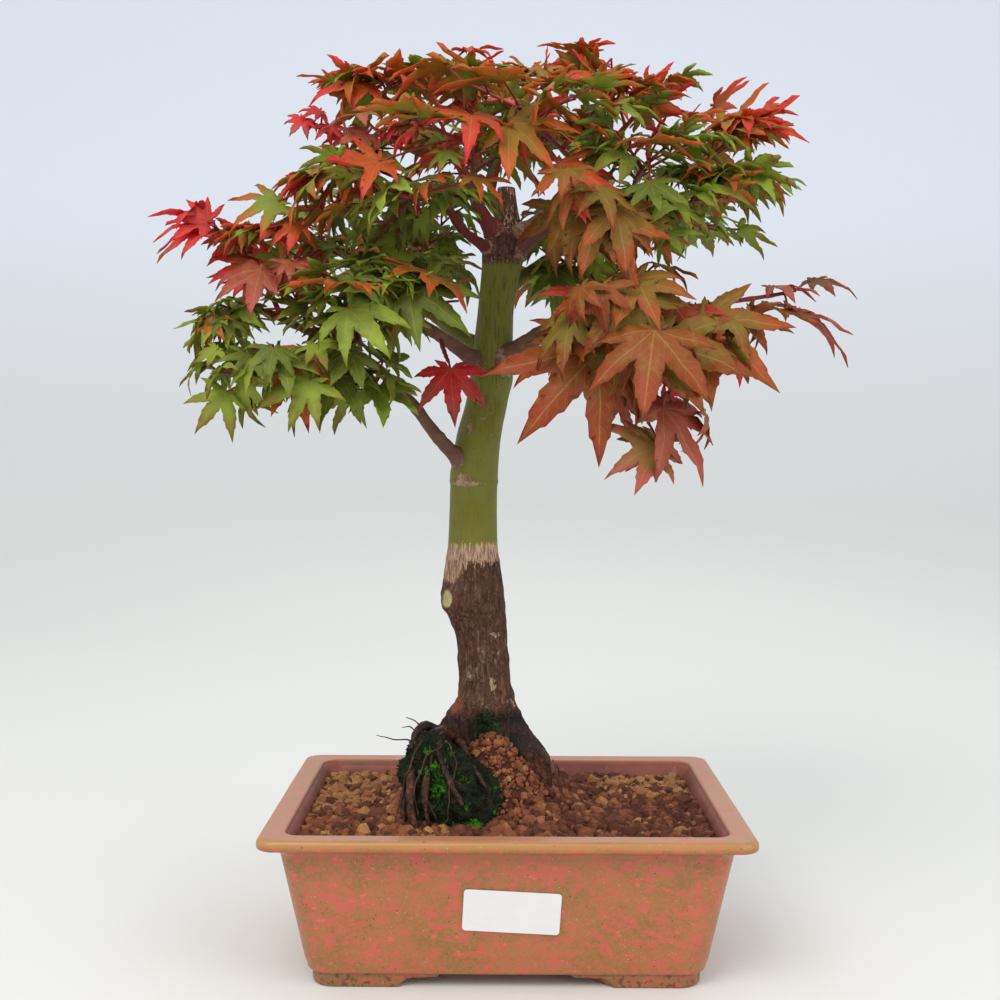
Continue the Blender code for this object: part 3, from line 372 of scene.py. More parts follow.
def new_mesh(name, points, faces, traits):
    """A mesh from points, arrays of faces, and traits: numbers per point that finishes read."""
    corners = np.concatenate([group.ravel() for group in faces])
    sizes = np.concatenate([np.full(len(group), group.shape[1]) for group in faces])
    starts = np.concatenate([[0], np.cumsum(sizes)[:-1]])
    mesh = bpy.data.meshes.new(name)
    mesh.vertices.add(len(points))
    mesh.vertices.foreach_set("co", points.astype(np.float32).ravel())
    mesh.loops.add(len(corners))
    mesh.loops.foreach_set("vertex_index", corners.astype(np.int32))
    mesh.polygons.add(len(sizes))
    mesh.polygons.foreach_set("loop_start", starts.astype(np.int32))
    mesh.update(calc_edges=True)
    for trait, values in traits.items():
        layer = mesh.attributes.new(trait, "FLOAT", "POINT")
        layer.data.foreach_set("value", np.broadcast_to(values, len(points)).astype(np.float32))
    return mesh


def add_piece(name, points, faces, finish, slot, nodes=(), weld=False, crease=None, **traits):
    """A piece that rides on the body, stands for the nodes and wears the finish."""
    faces = faces if isinstance(faces, list) else [faces]
    mesh = new_mesh(name, points.reshape(-1, 3), faces, traits)
    if weld:
        shape = bmesh.new()
        shape.from_mesh(mesh)
        bmesh.ops.remove_doubles(shape, verts=shape.verts, dist=1e-6)
        bmesh.ops.dissolve_degenerate(shape, edges=shape.edges, dist=1e-7)
        shape.to_mesh(mesh)
        shape.free()
    mesh.shade_smooth()
    if crease is not None:
        mesh.set_sharp_from_angle(angle=math.radians(crease))
    mesh.materials.append(finish)
    piece = bpy.data.objects.new(name, mesh)
    bpy.context.scene.collection.objects.link(piece)
    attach(piece, BODY)
    if nodes:
        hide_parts(*nodes)
    return piece


def dress(node, finish):
    """Give a node of the frame a better finish."""
    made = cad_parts[node]
    for place in made.material_slots:
        place.material = finish
    if not made.material_slots:
        made.data.materials.append(finish)


def unit(vectors):
    return vectors / np.maximum(np.linalg.norm(vectors, axis=-1, keepdims=True), 1e-12)


def smooth(value, low, high):
    """0 below low and 1 above high, with an S curve 3t2 - 2t3 between them."""
    t = np.clip((value - low) / (high - low), 0, 1)
    return t * t * (3 - 2 * t)


def noise(points, cell, seed=0):
    """Smooth noise from -1 to 1: a random value at each point of a cubic lattice, blended with
    S curves between the eight round a place. cell is the lattice's step, also one per axis."""
    place = points / np.asarray(cell)
    base = np.floor(place).astype(np.int64)
    part = place - base
    part = part * part * (3 - 2 * part)
    total = np.zeros(points.shape[:-1])
    for corner in np.ndindex(2, 2, 2):
        mixed = ((base + corner) * (73856093, 19349663, 83492791)).sum(-1) + seed * 668265263
        mixed = (mixed ^ (mixed >> 13)) * 1274126177 & 0x7FFFFFFF
        mixed = (mixed ^ (mixed >> 15)) & 0xFFFF
        weight = np.prod(np.where(corner, part, 1 - part), axis=-1)
        total += weight * (mixed / 32767.5 - 1)
    return total


def rough_noise(points, cell, seed=0, octaves=3):
    """Noise with finer noise on it, each octave half the size and half the height."""
    return sum(noise(points, np.asarray(cell) / 2 ** k, seed + k) / 2 ** k for k in range(octaves))


def spline(points, count):
    """Points at even steps along a Catmull-Rom curve through the given ones."""
    points = np.asarray(points, float)
    ends = np.vstack([2 * points[0] - points[1], points, 2 * points[-1] - points[-2]])
    place = np.linspace(0, len(points) - 1, count)
    i = np.minimum(place.astype(int), len(points) - 2)
    t = (place - i)[:, None]
    a, b, c, d = (ends[i + k] for k in range(4))
    return 0.5 * (2 * b + (c - a) * t + (2 * a - 5 * b + 4 * c - d) * t ** 2
                  + (3 * b - a - 3 * c + d) * t ** 3)


def sweep(paths, radii, sides):
    """Rings of points round each path: the path plus the radius times (n cos a + b sin a), where
    n is the tangent crossed with a normal of the path's chord, and b the tangent crossed with n."""
    tangent = unit(np.gradient(paths, axis=-2))
    chord = paths[..., -1:, :] - paths[..., :1, :]
    level = np.cross(chord, (0.0, 0.0, 1.0))
    short = np.linalg.norm(level, axis=-1, keepdims=True) < 1e-6
    level = np.where(short, (1.0, 0.0, 0.0), level)
    first = unit(np.cross(tangent, np.broadcast_to(level, tangent.shape)))
    second = np.cross(tangent, first)
    angle = np.linspace(0, 2 * math.pi, sides, endpoint=False)[:, None]
    ring = first[..., None, :] * np.cos(angle) + second[..., None, :] * np.sin(angle)
    return paths[..., None, :] + ring * radii[..., None, None]


# ------------------------------------------------------------------ finishes

class Value:
    """A socket of a finish; an expression on it adds its Math nodes."""

    def __init__(self, finish, socket):
        self.finish = finish
        self.socket = socket

    def maths(self, operation, *values):
        return self.finish.node("ShaderNodeMath", {"operation": operation},
                                dict(enumerate(values)))

    def __add__(self, other):
        return self.maths("ADD", self, other)

    def __sub__(self, other):
        return self.maths("SUBTRACT", self, other)

    def __rsub__(self, other):
        return self.maths("SUBTRACT", other, self)

    def __mul__(self, other):
        return self.maths("MULTIPLY", self, other)

    def __mod__(self, other):
        return self.maths("MODULO", self, other)

    def at_most(self, other):
        return self.maths("MINIMUM", self, other)

    __radd__ = __add__
    __rmul__ = __mul__


class Finish:
    """A material under construction: its nodes, and short ways to the ones used most."""

    def __init__(self, name, **constants):
        self.material = bpy.data.materials.new(name)
        self.material.use_nodes = True
        self.tree = self.material.node_tree
        self.shader = self.tree.nodes["Principled BSDF"]
        self.output = self.tree.nodes["Material Output"]
        for socket, value in constants.items():
            self.shader.inputs[socket.replace("_", " ")].default_value = value
        self.place = self.node("ShaderNodeTexCoord", output="Object")

    def node(self, kind, settings=None, inputs=None, output=0):
        """Add a node: its type, its settings, its sockets' values or links, and which output."""
        made = self.tree.nodes.new(kind)
        for setting, value in (settings or {}).items():
            if setting == "stops":
                while len(made.color_ramp.elements) < len(value):
                    made.color_ramp.elements.new(1.0)
                for stop, (place, colour) in zip(made.color_ramp.elements, value):
                    stop.position = place
                    stop.color = (*colour, 1.0)
            else:
                setattr(made, setting, value)
        for socket, value in (inputs or {}).items():
            self.put(made.inputs[socket], value)
        return Value(self, made.outputs[output])

    def put(self, socket, value):
        """Link a value to a socket, or set the socket's own number or colour."""
        if isinstance(value, Value):
            self.tree.links.new(value.socket, socket)
        elif hasattr(value, "__len__"):
            value = tuple(value)
            socket.default_value = value + (1.0,) * (len(socket.default_value) - len(value))
        else:
            socket.default_value = value

    def trait(self, name):
        return self.node("ShaderNodeAttribute", {"attribute_name": name}, output="Fac")

    def stretch(self, scale):
        return self.node("ShaderNodeVectorMath", {"operation": "MULTIPLY"},
                         {0: self.place, 1: scale})

    def warped(self, scale, amount):
        """Places stretched and then pushed about by noise, so that a pattern loses its order."""
        push = self.node("ShaderNodeTexNoise", None,
                         {"Vector": self.place, "Scale": 320.0}, "Color")
        return self.node("ShaderNodeVectorMath", {"operation": "MULTIPLY_ADD"},
                         {0: push, 1: (amount, amount, amount), 2: self.stretch(scale)})

    def noise(self, scale, detail=3.0, roughness=0.55, place=None):
        return self.node("ShaderNodeTexNoise", None,
                         {"Vector": place or self.place, "Scale": scale, "Detail": detail,
                          "Roughness": roughness})

    def dots(self, scale, radius, place=None):
        """1 in round dots, one to a cell of a Voronoi pattern."""
        distance = self.node("ShaderNodeTexVoronoi", None,
                             {"Vector": place or self.place, "Scale": scale}, "Distance")
        return 1.0 - self.between(distance, radius * 0.6, radius)

    def between(self, value, low, high):
        """0 below low, 1 above high, an S curve between them."""
        return self.node("ShaderNodeMapRange", {"interpolation_type": "SMOOTHSTEP"},
                         {"Value": value, "From Min": low, "From Max": high})

    def mix(self, share, first, second, blend="MIX"):
        """A colour between two; the sockets 6, 7 and output 2 are the Mix node's colours."""
        return self.node("ShaderNodeMix", {"data_type": "RGBA", "blend_type": blend},
                         {0: share, 6: first, 7: second}, 2)

    def ramp(self, value, *stops):
        return self.node("ShaderNodeValToRGB", {"stops": stops}, {"Fac": value})

    def bump(self, height, strength, distance):
        made = self.node("ShaderNodeBump", None,
                         {"Height": height, "Strength": strength, "Distance": distance})
        self.put(self.shader.inputs["Normal"], made)
        return made

    def colour(self, value):
        self.put(self.shader.inputs["Base Color"], value)

    def roughness(self, value):
        self.put(self.shader.inputs["Roughness"], value)


def shade(colour, factor):
    return tuple(min(1.0, part * factor) for part in colour)


def blend(first, second, share):
    return tuple(a * (1 - share) + b * share for a, b in zip(first, second))


def glaze_finish(pot):
    """Mottled glaze: clouds of the ground colour, soft patches, specks, an ochre rim."""
    made = Finish("glaze", Coat_Weight=0.12, Coat_Roughness=0.12)
    slanted = made.stretch((0.75, 1.0, 1.25))
    clouds = made.noise(60.0, 4.0)
    grain = made.noise(900.0, 3.0)
    ground = made.mix(made.between(clouds, 0.35, 0.65), shade(pot.glaze, 0.86),
                      blend(pot.glaze, pot.speckle, 0.30))
    ground = made.mix(made.between(grain, 0.35, 0.65) * 0.45, ground, shade(pot.glaze, 1.35))
    patches = made.noise(260.0, 4.0, 0.55, slanted) + (made.noise(70.0, 2.0) - 0.5) * 0.35
    patch = made.between(patches, 0.50, 0.60)
    ground = made.mix(patch * 0.68, ground, pot.speckle)
    bright = made.between(made.noise(210.0, 3.0, 0.55, slanted), 0.63, 0.68)
    ground = made.mix(bright * 0.7, ground, shade(pot.speckle, 1.25))
    edge = made.trait("edge") + (made.noise(90.0, 3.0) - 0.5) * 0.8
    ground = made.mix(made.between(edge, 0.45, 0.85) * 0.85, ground, pot.rim_edge)
    top = made.trait("top") + (made.noise(70.0, 4.0) - 0.5) * 0.5
    top_ground = made.mix(patch * 0.45, pot.rim_top, blend(pot.rim_top, pot.speckle, 0.65))
    ground = made.mix(made.between(top, 0.4, 0.7), ground, top_ground)
    inner = made.mix(made.between(clouds, 0.3, 0.7), pot.inside, shade(pot.inside, 0.65))
    ground = made.mix(made.trait("inner"), ground, inner)
    foot = made.trait("foot")
    ground = made.mix(foot * 0.35, ground, shade(pot.glaze, 0.45))
    spots = made.dots(330.0, 0.14) * made.between(made.noise(75.0), 0.50, 0.58)
    foot_spots = made.between(made.noise(380.0, 5.0), 0.54, 0.59) * foot
    ground = made.mix((spots + foot_spots * 0.8).at_most(1.0) * 0.8, ground, (0.03, 0.018, 0.014))
    sparkle = made.dots(520.0, 0.11) * made.between(made.noise(110.0), 0.48, 0.56)
    ground = made.mix(sparkle * 0.6, ground, (0.8, 0.66, 0.5))
    made.colour(ground)
    made.roughness(0.30 + made.noise(120.0) * 0.16 + made.trait("top") * 0.14
                   + made.trait("inner") * 0.3)
    made.bump(patches * 0.5 + grain * 0.12, 0.35, 0.4 * MM)
    return made.material


def soil_finish(pot, name="akadama"):
    """Porous fired clay: each grain has its own tone, and a share of them are pale."""
    made = Finish(name, Roughness=0.95)
    made.shader.inputs["Specular IOR Level"].default_value = 0.2
    fine = made.noise(1100.0, 4.0, 0.65)
    tone = made.trait("tone") + (made.noise(420.0, 2.0) - 0.5) * 0.5
    # The lowest tones, which the bed takes, are painted shade in the gaps between grains; grains
    # take them at random
    ground = made.ramp(tone, (0.0, shade(pot.soil_dark, 0.8)), (0.38, pot.soil_dark),
                       (0.72, pot.soil), (1.0, blend(pot.soil, pot.soil_pale, 0.35)))
    ground = made.mix(made.trait("pale"), ground, made.mix(fine, pot.soil_pale,
                                                           shade(pot.soil_pale, 0.6)))
    ground = made.mix(made.between(fine, 0.35, 0.7) * 0.35, ground, shade(pot.soil_dark, 0.7))
    made.colour(ground)
    made.bump(fine + made.noise(480.0, 3.0), 0.8, 0.5 * MM)
    return made.material


def moss_finish(pot):
    """Damp black-green felt, brighter where a trait says, with brown showing through."""
    made = Finish("moss", Roughness=0.9, Specular_IOR_Level=0.15)
    fine = made.noise(900.0, 4.0, 0.65)
    fresh = (made.trait("fresh") + (made.noise(260.0, 4.0, 0.6) - 0.5) * 1.4)
    dark = made.ramp(made.noise(190.0, 3.0), (0.3, (0.006, 0.006, 0.004)),
                     (0.52, (0.012, 0.018, 0.008)), (0.72, (0.032, 0.020, 0.010)))
    green = made.mix(fine, shade(pot.moss, 0.55), shade(pot.moss, 1.35))
    made.colour(made.mix(made.between(fresh, 0.45, 0.85), dark, green))
    made.bump(fine + made.noise(300.0, 3.0), 0.9, 0.8 * MM)
    return made.material


def trunk_finish(tree):
    """Smooth olive bark over a fibrous tan band over rough brown bark, dark and damp at the
    roots with painted highlights in patches, near-black moss between the front roots that is
    partly painted shade of the recess, with pale scars and one cream wound."""
    made = Finish("bark", Specular_IOR_Level=0.18)
    streaks = made.noise(1.0, 4.0, 0.6, made.stretch((950.0, 950.0, 110.0)))
    fibres = made.noise(1.0, 4.0, 0.7, made.stretch((1300.0, 1300.0, 95.0)))
    clouds = made.noise(70.0, 4.0)
    flecks = made.noise(1.0, 5.0, 0.7, made.stretch((620.0, 620.0, 420.0)))
    plates = made.node("ShaderNodeTexVoronoi", {"feature": "DISTANCE_TO_EDGE"},
                       {"Vector": made.warped((300.0, 300.0, 85.0), 1.6), "Scale": 1.0}, "Distance")
    plate = made.between(plates, 0.02, 0.24)
    ragged = (fibres - 0.5) * 1.3 + (flecks - 0.5) * 0.8
    olive = made.mix(made.between(clouds, 0.3, 0.7), shade(tree.young_bark, 0.92),
                     blend(tree.young_bark, (0.17, 0.18, 0.045), 0.5))
    ridged = made.trait("ridged")
    olive = made.mix(made.between(streaks, 0.50, 0.66) * (0.22 + ridged * 0.6), olive,
                     (0.070, 0.060, 0.016))
    olive = made.mix(made.dots(240.0, 0.10) * 0.5, olive, tree.cork)
    rough = made.ramp(streaks * 0.6 + flecks * 0.4 + (clouds - 0.5) * 0.3,
                      (0.34, shade(tree.old_bark, 0.45)), (0.47, tree.old_bark),
                      (0.58, shade(tree.old_bark, 1.55)),
                      (0.72, blend(tree.old_bark, tree.cork, 0.5)))
    pale = made.between(made.noise(60.0, 6.0, 0.65), 0.57, 0.66) * made.between(flecks, 0.40, 0.60)
    rough = made.mix(pale * 0.6, rough, blend(tree.cork, (0.27, 0.24, 0.19), 0.6))
    rough = made.mix((1.0 - plate) * 0.5, rough, (0.026, 0.011, 0.008))
    band = made.ramp(fibres, (0.34, shade(tree.old_bark, 0.8)), (0.46, shade(tree.cork, 0.65)),
                     (0.64, shade(tree.cork, 1.25)))
    ground = made.mix(made.between(made.trait("old") + ragged, 0.40, 0.60), olive, rough)
    ground = made.mix(made.between(made.trait("band") + ragged * 1.1, 0.52, 0.72), ground, band)
    # Wet bark of the roots: near-black to dark brown, and the lightest stop is a painted highlight
    # of wet bark, scattered by noise
    damp = made.ramp(clouds + (flecks - 0.5) * 0.8, (0.3, (0.012, 0.006, 0.005)),
                     (0.5, (0.040, 0.018, 0.012)), (0.72, (0.14, 0.048, 0.024)))
    damp = made.mix((1.0 - plate) * 0.6, damp, (0.008, 0.004, 0.004))
    ground = made.mix(made.between(made.trait("damp") + ragged * 0.5, 0.35, 0.75), ground, damp)
    # Near-black to dark green moss between the front roots: real moss, darkened as painted shade of
    # the recess
    mossy = made.mix(made.between(made.noise(800.0, 4.0, 0.7), 0.4, 0.65), (0.006, 0.008, 0.005),
                     (0.022, 0.050, 0.014))
    ground = made.mix(made.between(made.trait("mossy") + ragged * 0.8, 0.45, 0.75), ground, mossy)
    raw = made.between(made.trait("raw") + ragged * 0.7, 0.5, 0.8)
    ground = made.mix(raw * 0.85, ground, (0.20, 0.055, 0.028))
    scar = made.between(made.trait("scar") + (flecks - 0.5) * 2.6, 0.55, 0.72)
    ground = made.mix(scar * 0.9, ground, made.mix(made.between(fibres, 0.35, 0.65),
                                                   shade(tree.cork, 0.45), tree.cork))
    ground = made.mix(made.between(made.trait("wound"), 0.3, 0.6), ground,
                      made.mix(streaks, (0.30, 0.24, 0.10), (0.66, 0.58, 0.32)))
    made.colour(ground)
    made.roughness(0.50 + made.trait("old") * 0.38 - made.trait("damp") * 0.42)
    coarse = made.trait("old")
    dry = 1.0 - made.trait("damp") * 0.7
    made.bump((streaks * 0.6 + plate * 0.7 + flecks * 0.7) * coarse * dry + streaks * 0.10
              + flecks * 0.06 + scar * 0.35, 1.0, 0.7 * MM)
    return made.material


def branch_finish(tree):
    """Brown bark that turns olive or red by trait, with pale lenticels and corky scars."""
    made = Finish("branch_bark", Specular_IOR_Level=0.3)
    clouds = made.noise(110.0, 4.0)
    fine = made.noise(1000.0, 4.0, 0.6)
    brown = made.mix(made.between(clouds, 0.35, 0.65), (0.115, 0.052, 0.031), (0.200, 0.098, 0.060))
    olive = made.mix(fine, shade(tree.young_bark, 0.7), tree.young_bark)
    ground = made.mix(made.between(made.trait("olive") + (clouds - 0.5), 0.35, 0.65), brown, olive)
    red = made.mix(clouds, (0.11, 0.012, 0.012), (0.20, 0.030, 0.022))
    ground = made.mix(made.between(made.trait("red") + (clouds - 0.5) * 0.8, 0.3, 0.7), ground, red)
    ground = made.mix(made.between(fine, 0.5, 0.75) * 0.4, ground, (0.035, 0.020, 0.014))
    cork = made.trait("scar") + (made.noise(650.0, 4.0, 0.65) - 0.5) * 1.5
    ground = made.mix(made.between(cork, 0.45, 0.65) * 0.9, ground,
                      made.mix(fine, shade(tree.cork, 0.35), shade(tree.cork, 0.9)))
    flecks = made.dots(330.0, 0.13) * made.between(made.noise(120.0), 0.50, 0.62)
    ground = made.mix(flecks * 0.8, ground, shade(tree.cork, 1.1))
    made.colour(ground)
    made.roughness(0.5 + clouds * 0.3)
    made.bump(fine * 0.5 + clouds + made.between(cork, 0.45, 0.65) * 0.6, 0.6, 0.4 * MM)
    return made.material


def leaf_kinds(tree, colour):
    """Four kinds of leaf in a spray of a colour, the last one rare: what its middle and its edge
    turn to."""
    green, orange, copper, red, pink = (tree.green, tree.orange, tree.copper, tree.red, tree.pink)
    return {
        "green": ((shade(green, 0.62), shade(green, 0.95)),
                  (shade(green, 1.45), blend(green, copper, 0.35)),
                  (shade(green, 1.0), shade(green, 1.65)), (blend(green, orange, 0.55), orange)),
        "orange": ((shade(green, 1.15), orange), (blend(green, orange, 0.45), shade(orange, 1.1)),
                   (orange, red), (shade(green, 0.9), shade(green, 1.4))),
        "copper": ((blend(green, copper, 0.45), copper),
                   (blend(green, copper, 0.65), blend(copper, orange, 0.5)),
                   (blend(green, copper, 0.9), blend(copper, red, 0.15)),
                   (blend(copper, red, 0.35), shade(red, 0.8))),
        "red": ((shade(red, 0.85), red), (red, pink), (blend(green, red, 0.6), red), (pink, red)),
        "pink": ((blend(copper, pink, 0.5), pink), (pink, red), (blend(green, pink, 0.5), pink),
                 (shade(red, 0.9), red)),
    }[colour]


def middle_of(tree, colour):
    return leaf_kinds(tree, colour)[0][0]


def leaf_finish(tree, colour):
    """A blade that lets light through: pale veins, a turned edge, blotches, each leaf with its
    own tone; the same finish darkens to a red stalk where the wood trait is 1."""
    made = Finish("leaf_" + colour, Specular_IOR_Level=0.35)
    across, along, tone = made.trait("across"), made.trait("along"), made.trait("tone")
    patches = made.noise(130.0, 4.0, 0.6)
    turned = along * 0.9 + (patches - 0.5) * 1.1
    share = made.between(turned, 0.25, 0.75)
    grounds = [made.mix(share, middle, edge) for middle, edge in leaf_kinds(tree, colour)]
    ground = made.mix(made.between(tone, 0.38, 0.44), grounds[0], grounds[1])
    ground = made.mix(made.between(tone, 0.72, 0.78), ground, grounds[2])
    ground = made.mix(made.between(tone, 0.11, 0.14), grounds[3], ground)
    burnt = made.between(along + (patches - 0.5) * 0.7, 0.88, 1.02)
    burnt = burnt * made.between(tone * 7.0 % 1.0, 0.4, 0.6)
    ground = made.mix(burnt * 0.75, ground, (0.10, 0.045, 0.020))
    ground = made.mix(made.between(made.noise(240.0, 4.0), 0.5, 0.7) * 0.25, ground,
                      blend(middle_of(tree, colour), (0.55, 0.42, 0.12), 0.5))
    ribs = made.node("ShaderNodeMath", {"operation": "PINGPONG"},
                     {0: along * 9.0 - across * 1.7, 1: 0.5}) * 2.0
    rib = made.between(ribs, 0.80, 0.97) * 0.22
    vein = made.between(1.0 - across, 0.90, 0.985)
    light = made.mix(0.45, ground, (0.62, 0.50, 0.14))
    ground = made.mix((vein * 0.6 + rib).at_most(1.0), ground, light)
    shiny = made.noise(900.0, 2.0)
    wood = made.trait("wood")
    stalk = made.mix(made.noise(300.0), tree.twig, shade(tree.twig, 1.9))
    ground = made.mix(wood, ground, stalk)
    made.colour(ground)
    made.roughness(0.42 + shiny * 0.2)
    bump = made.bump((vein * -1.0 - rib) * (1.0 - wood) + shiny * 0.25, 0.45, 0.25 * MM)
    through = made.node("ShaderNodeBsdfTranslucent", None, {"Color": ground, "Normal": bump})
    both = made.node("ShaderNodeMixShader", None,
                     {0: (1.0 - wood) * 0.42, 1: Value(made, made.shader.outputs[0]), 2: through})
    made.put(made.output.inputs["Surface"], both)
    return made.material


def label_finish():
    """White film, a little yellowed, with a faint tooth."""
    made = Finish("label_film", Roughness=0.42)
    made.colour(made.mix(made.noise(120.0, 3.0), (0.70, 0.69, 0.68), (0.76, 0.755, 0.75)))
    made.bump(made.noise(1500.0, 2.0), 0.1, 0.1 * MM)
    return made.material


def screen_finish():
    made = Finish("screen_mesh")
    fade = made.noise(140.0, 3.0)
    made.colour(made.mix(fade, (0.018, 0.042, 0.026), (0.045, 0.080, 0.050)))
    made.roughness(0.5 + fade * 0.3)
    made.bump(made.noise(1200.0), 0.3, 0.2 * MM)
    return made.material


def wire_finish():
    made = Finish("screen_wire", Metallic=1.0)
    fade = made.noise(260.0, 4.0)
    made.colour(made.mix(fade, (0.34, 0.31, 0.28), (0.58, 0.54, 0.49)))
    made.roughness(0.28 + fade * 0.25)
    return made.material


def stage_finish():
    made = Finish("stage_paper", Roughness=0.9)
    height = made.node("ShaderNodeSeparateXYZ", None, {"Vector": made.place}, "Z")
    made.colour(made.mix(made.between(height, 0.0, 0.9), (0.68, 0.665, 0.625), (0.80, 0.81, 0.86)))
    return made.material


# ------------------------------------------------------------------ pot

def outer_inset(z):
    neck = RIM_TOP - RIM_BAND - NECK_HEIGHT
    return RIM_OVERHANG + WALL_TAPER * (neck - z) / (neck - FOOT_HEIGHT)


def inner_inset(z):
    throat = RIM_TOP - FUNNEL
    share = np.clip((z - throat) / FUNNEL, 0, 1)
    deep = outer_inset(np.minimum(z, throat)) + WALL
    return (1 - share) * deep + share * RIM_WIDTH


def plan_ring(inset, corner):
    """Round a rectangle with round corners, per inset and corner radius: straight sides in even
    steps and corners as arcs, anticlockwise from the middle of the +X side."""
    inset, corner = np.asarray(inset)[:, None], np.asarray(corner)[:, None]
    half_x, half_y = HALF_LENGTH - inset, HALF_DEPTH - inset
    arc = np.linspace(0, math.pi / 2, CORNER_STEPS)[None, :]
    run = np.linspace(0, 1, SIDE_STEPS, endpoint=False)[None, 1:]
    parts = []
    for quarter, (sx, sy) in enumerate(((1, 1), (-1, 1), (-1, -1), (1, -1))):
        turn = arc + quarter * math.pi / 2
        parts.append(np.stack([sx * (half_x - corner) + corner * np.cos(turn),
                               sy * (half_y - corner) + corner * np.sin(turn)], -1))
        along = (1 - 2 * run)
        if quarter % 2 == 0:
            parts.append(np.stack([sx * (half_x - corner) * along,
                                   sy * half_y * np.ones_like(along)], -1))
        else:
            parts.append(np.stack([sx * half_x * np.ones_like(along),
                                   sy * (half_y - corner) * along], -1))
    return np.concatenate(parts, axis=1)


def pot_section():
    """The wall's section from the middle of the base, up the outside, over the rim and down the
    inside: inset from the rim's edge, height, corner radius, then edge, top and inner traits."""
    neck = RIM_TOP - RIM_BAND - NECK_HEIGHT
    band = RIM_TOP - RIM_BAND
    quarter = np.linspace(0, math.pi / 2, 7)
    base, low = FOOT_HEIGHT, 2.2 * MM
    rows = []

    def add(inset, z, corner, edge=0.0, top=0.0, inner=0.0):
        inset, z, corner, edge, top, inner = np.broadcast_arrays(inset, z, corner, edge, top, inner)
        rows.append(np.stack([inset, z, corner, edge, top, inner], -1).reshape(-1, 6))

    foot = outer_inset(base)
    add(np.linspace(HALF_DEPTH - 6 * MM, foot + low, 6), base, np.linspace(1 * MM, WALL_CORNER, 6))
    add(foot + low * (1 - np.sin(quarter)), base + low * (1 - np.cos(quarter)), WALL_CORNER)
    z = np.linspace(base + low, neck, 14)[1:]
    add(outer_inset(z), z, WALL_CORNER)
    # The neck is a quarter of an ellipse, hollow side out
    out = RIM_OVERHANG - 1.6 * MM
    add(RIM_OVERHANG - out * (1 - np.cos(quarter[1:])), neck + NECK_HEIGHT * np.sin(quarter[1:]),
        np.linspace(WALL_CORNER, RIM_CORNER, 6))
    # The rim's edge is a round of 1.6 mm, an upright and a wider round above it
    round_low, round_high = 1.6 * MM, 2.2 * MM
    add(round_low * (1 - np.sin(quarter[1:])), band + round_low * (1 - np.cos(quarter[1:])),
        RIM_CORNER, edge=0.3)
    add(0.0, np.array([band + 2.2 * MM, RIM_TOP - round_high]), RIM_CORNER, edge=(0.7, 1.0))
    add(round_high * (1 - np.cos(quarter[1:])), RIM_TOP - round_high * (1 - np.sin(quarter[1:])),
        RIM_CORNER, edge=np.linspace(1.0, 0.6, 6), top=np.linspace(0.0, 0.5, 6))
    across = np.linspace(round_high, RIM_WIDTH - 1.6 * MM, 6)[1:]
    add(across, RIM_TOP - 0.25 * MM * (across / RIM_WIDTH), RIM_CORNER, top=1.0)
    lip = 1.4 * MM
    z_in = RIM_TOP - 0.25 * MM - lip * (1 - np.cos(quarter[1:]))
    add(RIM_WIDTH - 1.6 * MM + lip * np.sin(quarter[1:]) + 0.3 * MM, z_in, RIM_CORNER,
        top=np.linspace(0.9, 0.1, 6), inner=np.linspace(0.1, 0.9, 6))
    floor = FOOT_HEIGHT + FLOOR
    z = np.linspace(RIM_TOP - 2.2 * MM, floor + 1.5 * MM, 16)
    add(inner_inset(z) + 0.2 * MM, z, RIM_CORNER, inner=1.0)
    inside = inner_inset(np.array(floor))
    add(np.linspace(inside + 1.5 * MM, HALF_DEPTH - 6 * MM, 6), floor,
        np.linspace(RIM_CORNER, 1 * MM, 6), inner=1.0)
    return np.concatenate(rows)


def cap_row(first, columns):
    """One face over a closed row of points."""
    return np.arange(first, first + columns)[None, :]


def make_pot(pot):
    """The body is the wall's section carried round a rectangle with round corners; the drain
    holes are then cut. The feet are a ring under it whose lower face rises between the feet."""
    section = pot_section()
    plan = plan_ring(section[:, 0], section[:, 2])
    rows, columns = plan.shape[:2]
    points = np.concatenate([plan, np.repeat(section[:, None, 1:2], columns, 1)], -1)
    sway = noise(points, 0.055, 3) * 0.35 * MM + noise(points, 0.012, 5) * 0.08 * MM
    free = smooth(points[..., 2], FOOT_HEIGHT + 4 * MM, FOOT_HEIGHT + 12 * MM)
    points[..., :2] -= points[..., :2] * (np.abs(sway) * free)[..., None] * 4
    faces = [grid_faces(rows, columns), cap_row(0, columns)[:, ::-1],
             cap_row((rows - 1) * columns, columns)]
    traits = {name: np.repeat(section[:, 3 + k], columns)
              for k, name in enumerate(("edge", "top", "inner"))}
    finish = glaze_finish(pot)
    body = add_piece("pot_body", points, faces, finish, "glaze", ("pot",), crease=50,
                     foot=0.0, **traits)
    cut_drain_holes(body)
    make_feet(finish)


def cut_drain_holes(body):
    """Two round holes through the floor, cut with upright cylinders."""
    for side in (-1, 1):
        turn = np.linspace(0, 2 * math.pi, 40, endpoint=False)
        ring = np.stack([side * DRAIN_OFFSET + DRAIN_RADIUS * np.cos(turn),
                         DRAIN_RADIUS * np.sin(turn)], -1)
        levels = np.array([FOOT_HEIGHT - FLOOR / 2, FOOT_HEIGHT + 1.5 * FLOOR])
        points = np.concatenate([np.repeat(ring[None], 2, 0),
                                 np.repeat(levels[:, None, None], 40, 1)], -1)
        faces = [grid_faces(2, 40), cap_row(0, 40)[:, ::-1], cap_row(40, 40)]
        cutter = bpy.data.objects.new("drain_cutter",
                                      new_mesh("drain_cutter", points.reshape(-1, 3), faces, {}))
        bpy.context.scene.collection.objects.link(cutter)
        cut = body.modifiers.new("drain", "BOOLEAN")
        cut.operation = "DIFFERENCE"
        cut.solver = "EXACT"
        cut.object = cutter
        apply_modifiers(body)
        bpy.data.objects.remove(cutter)


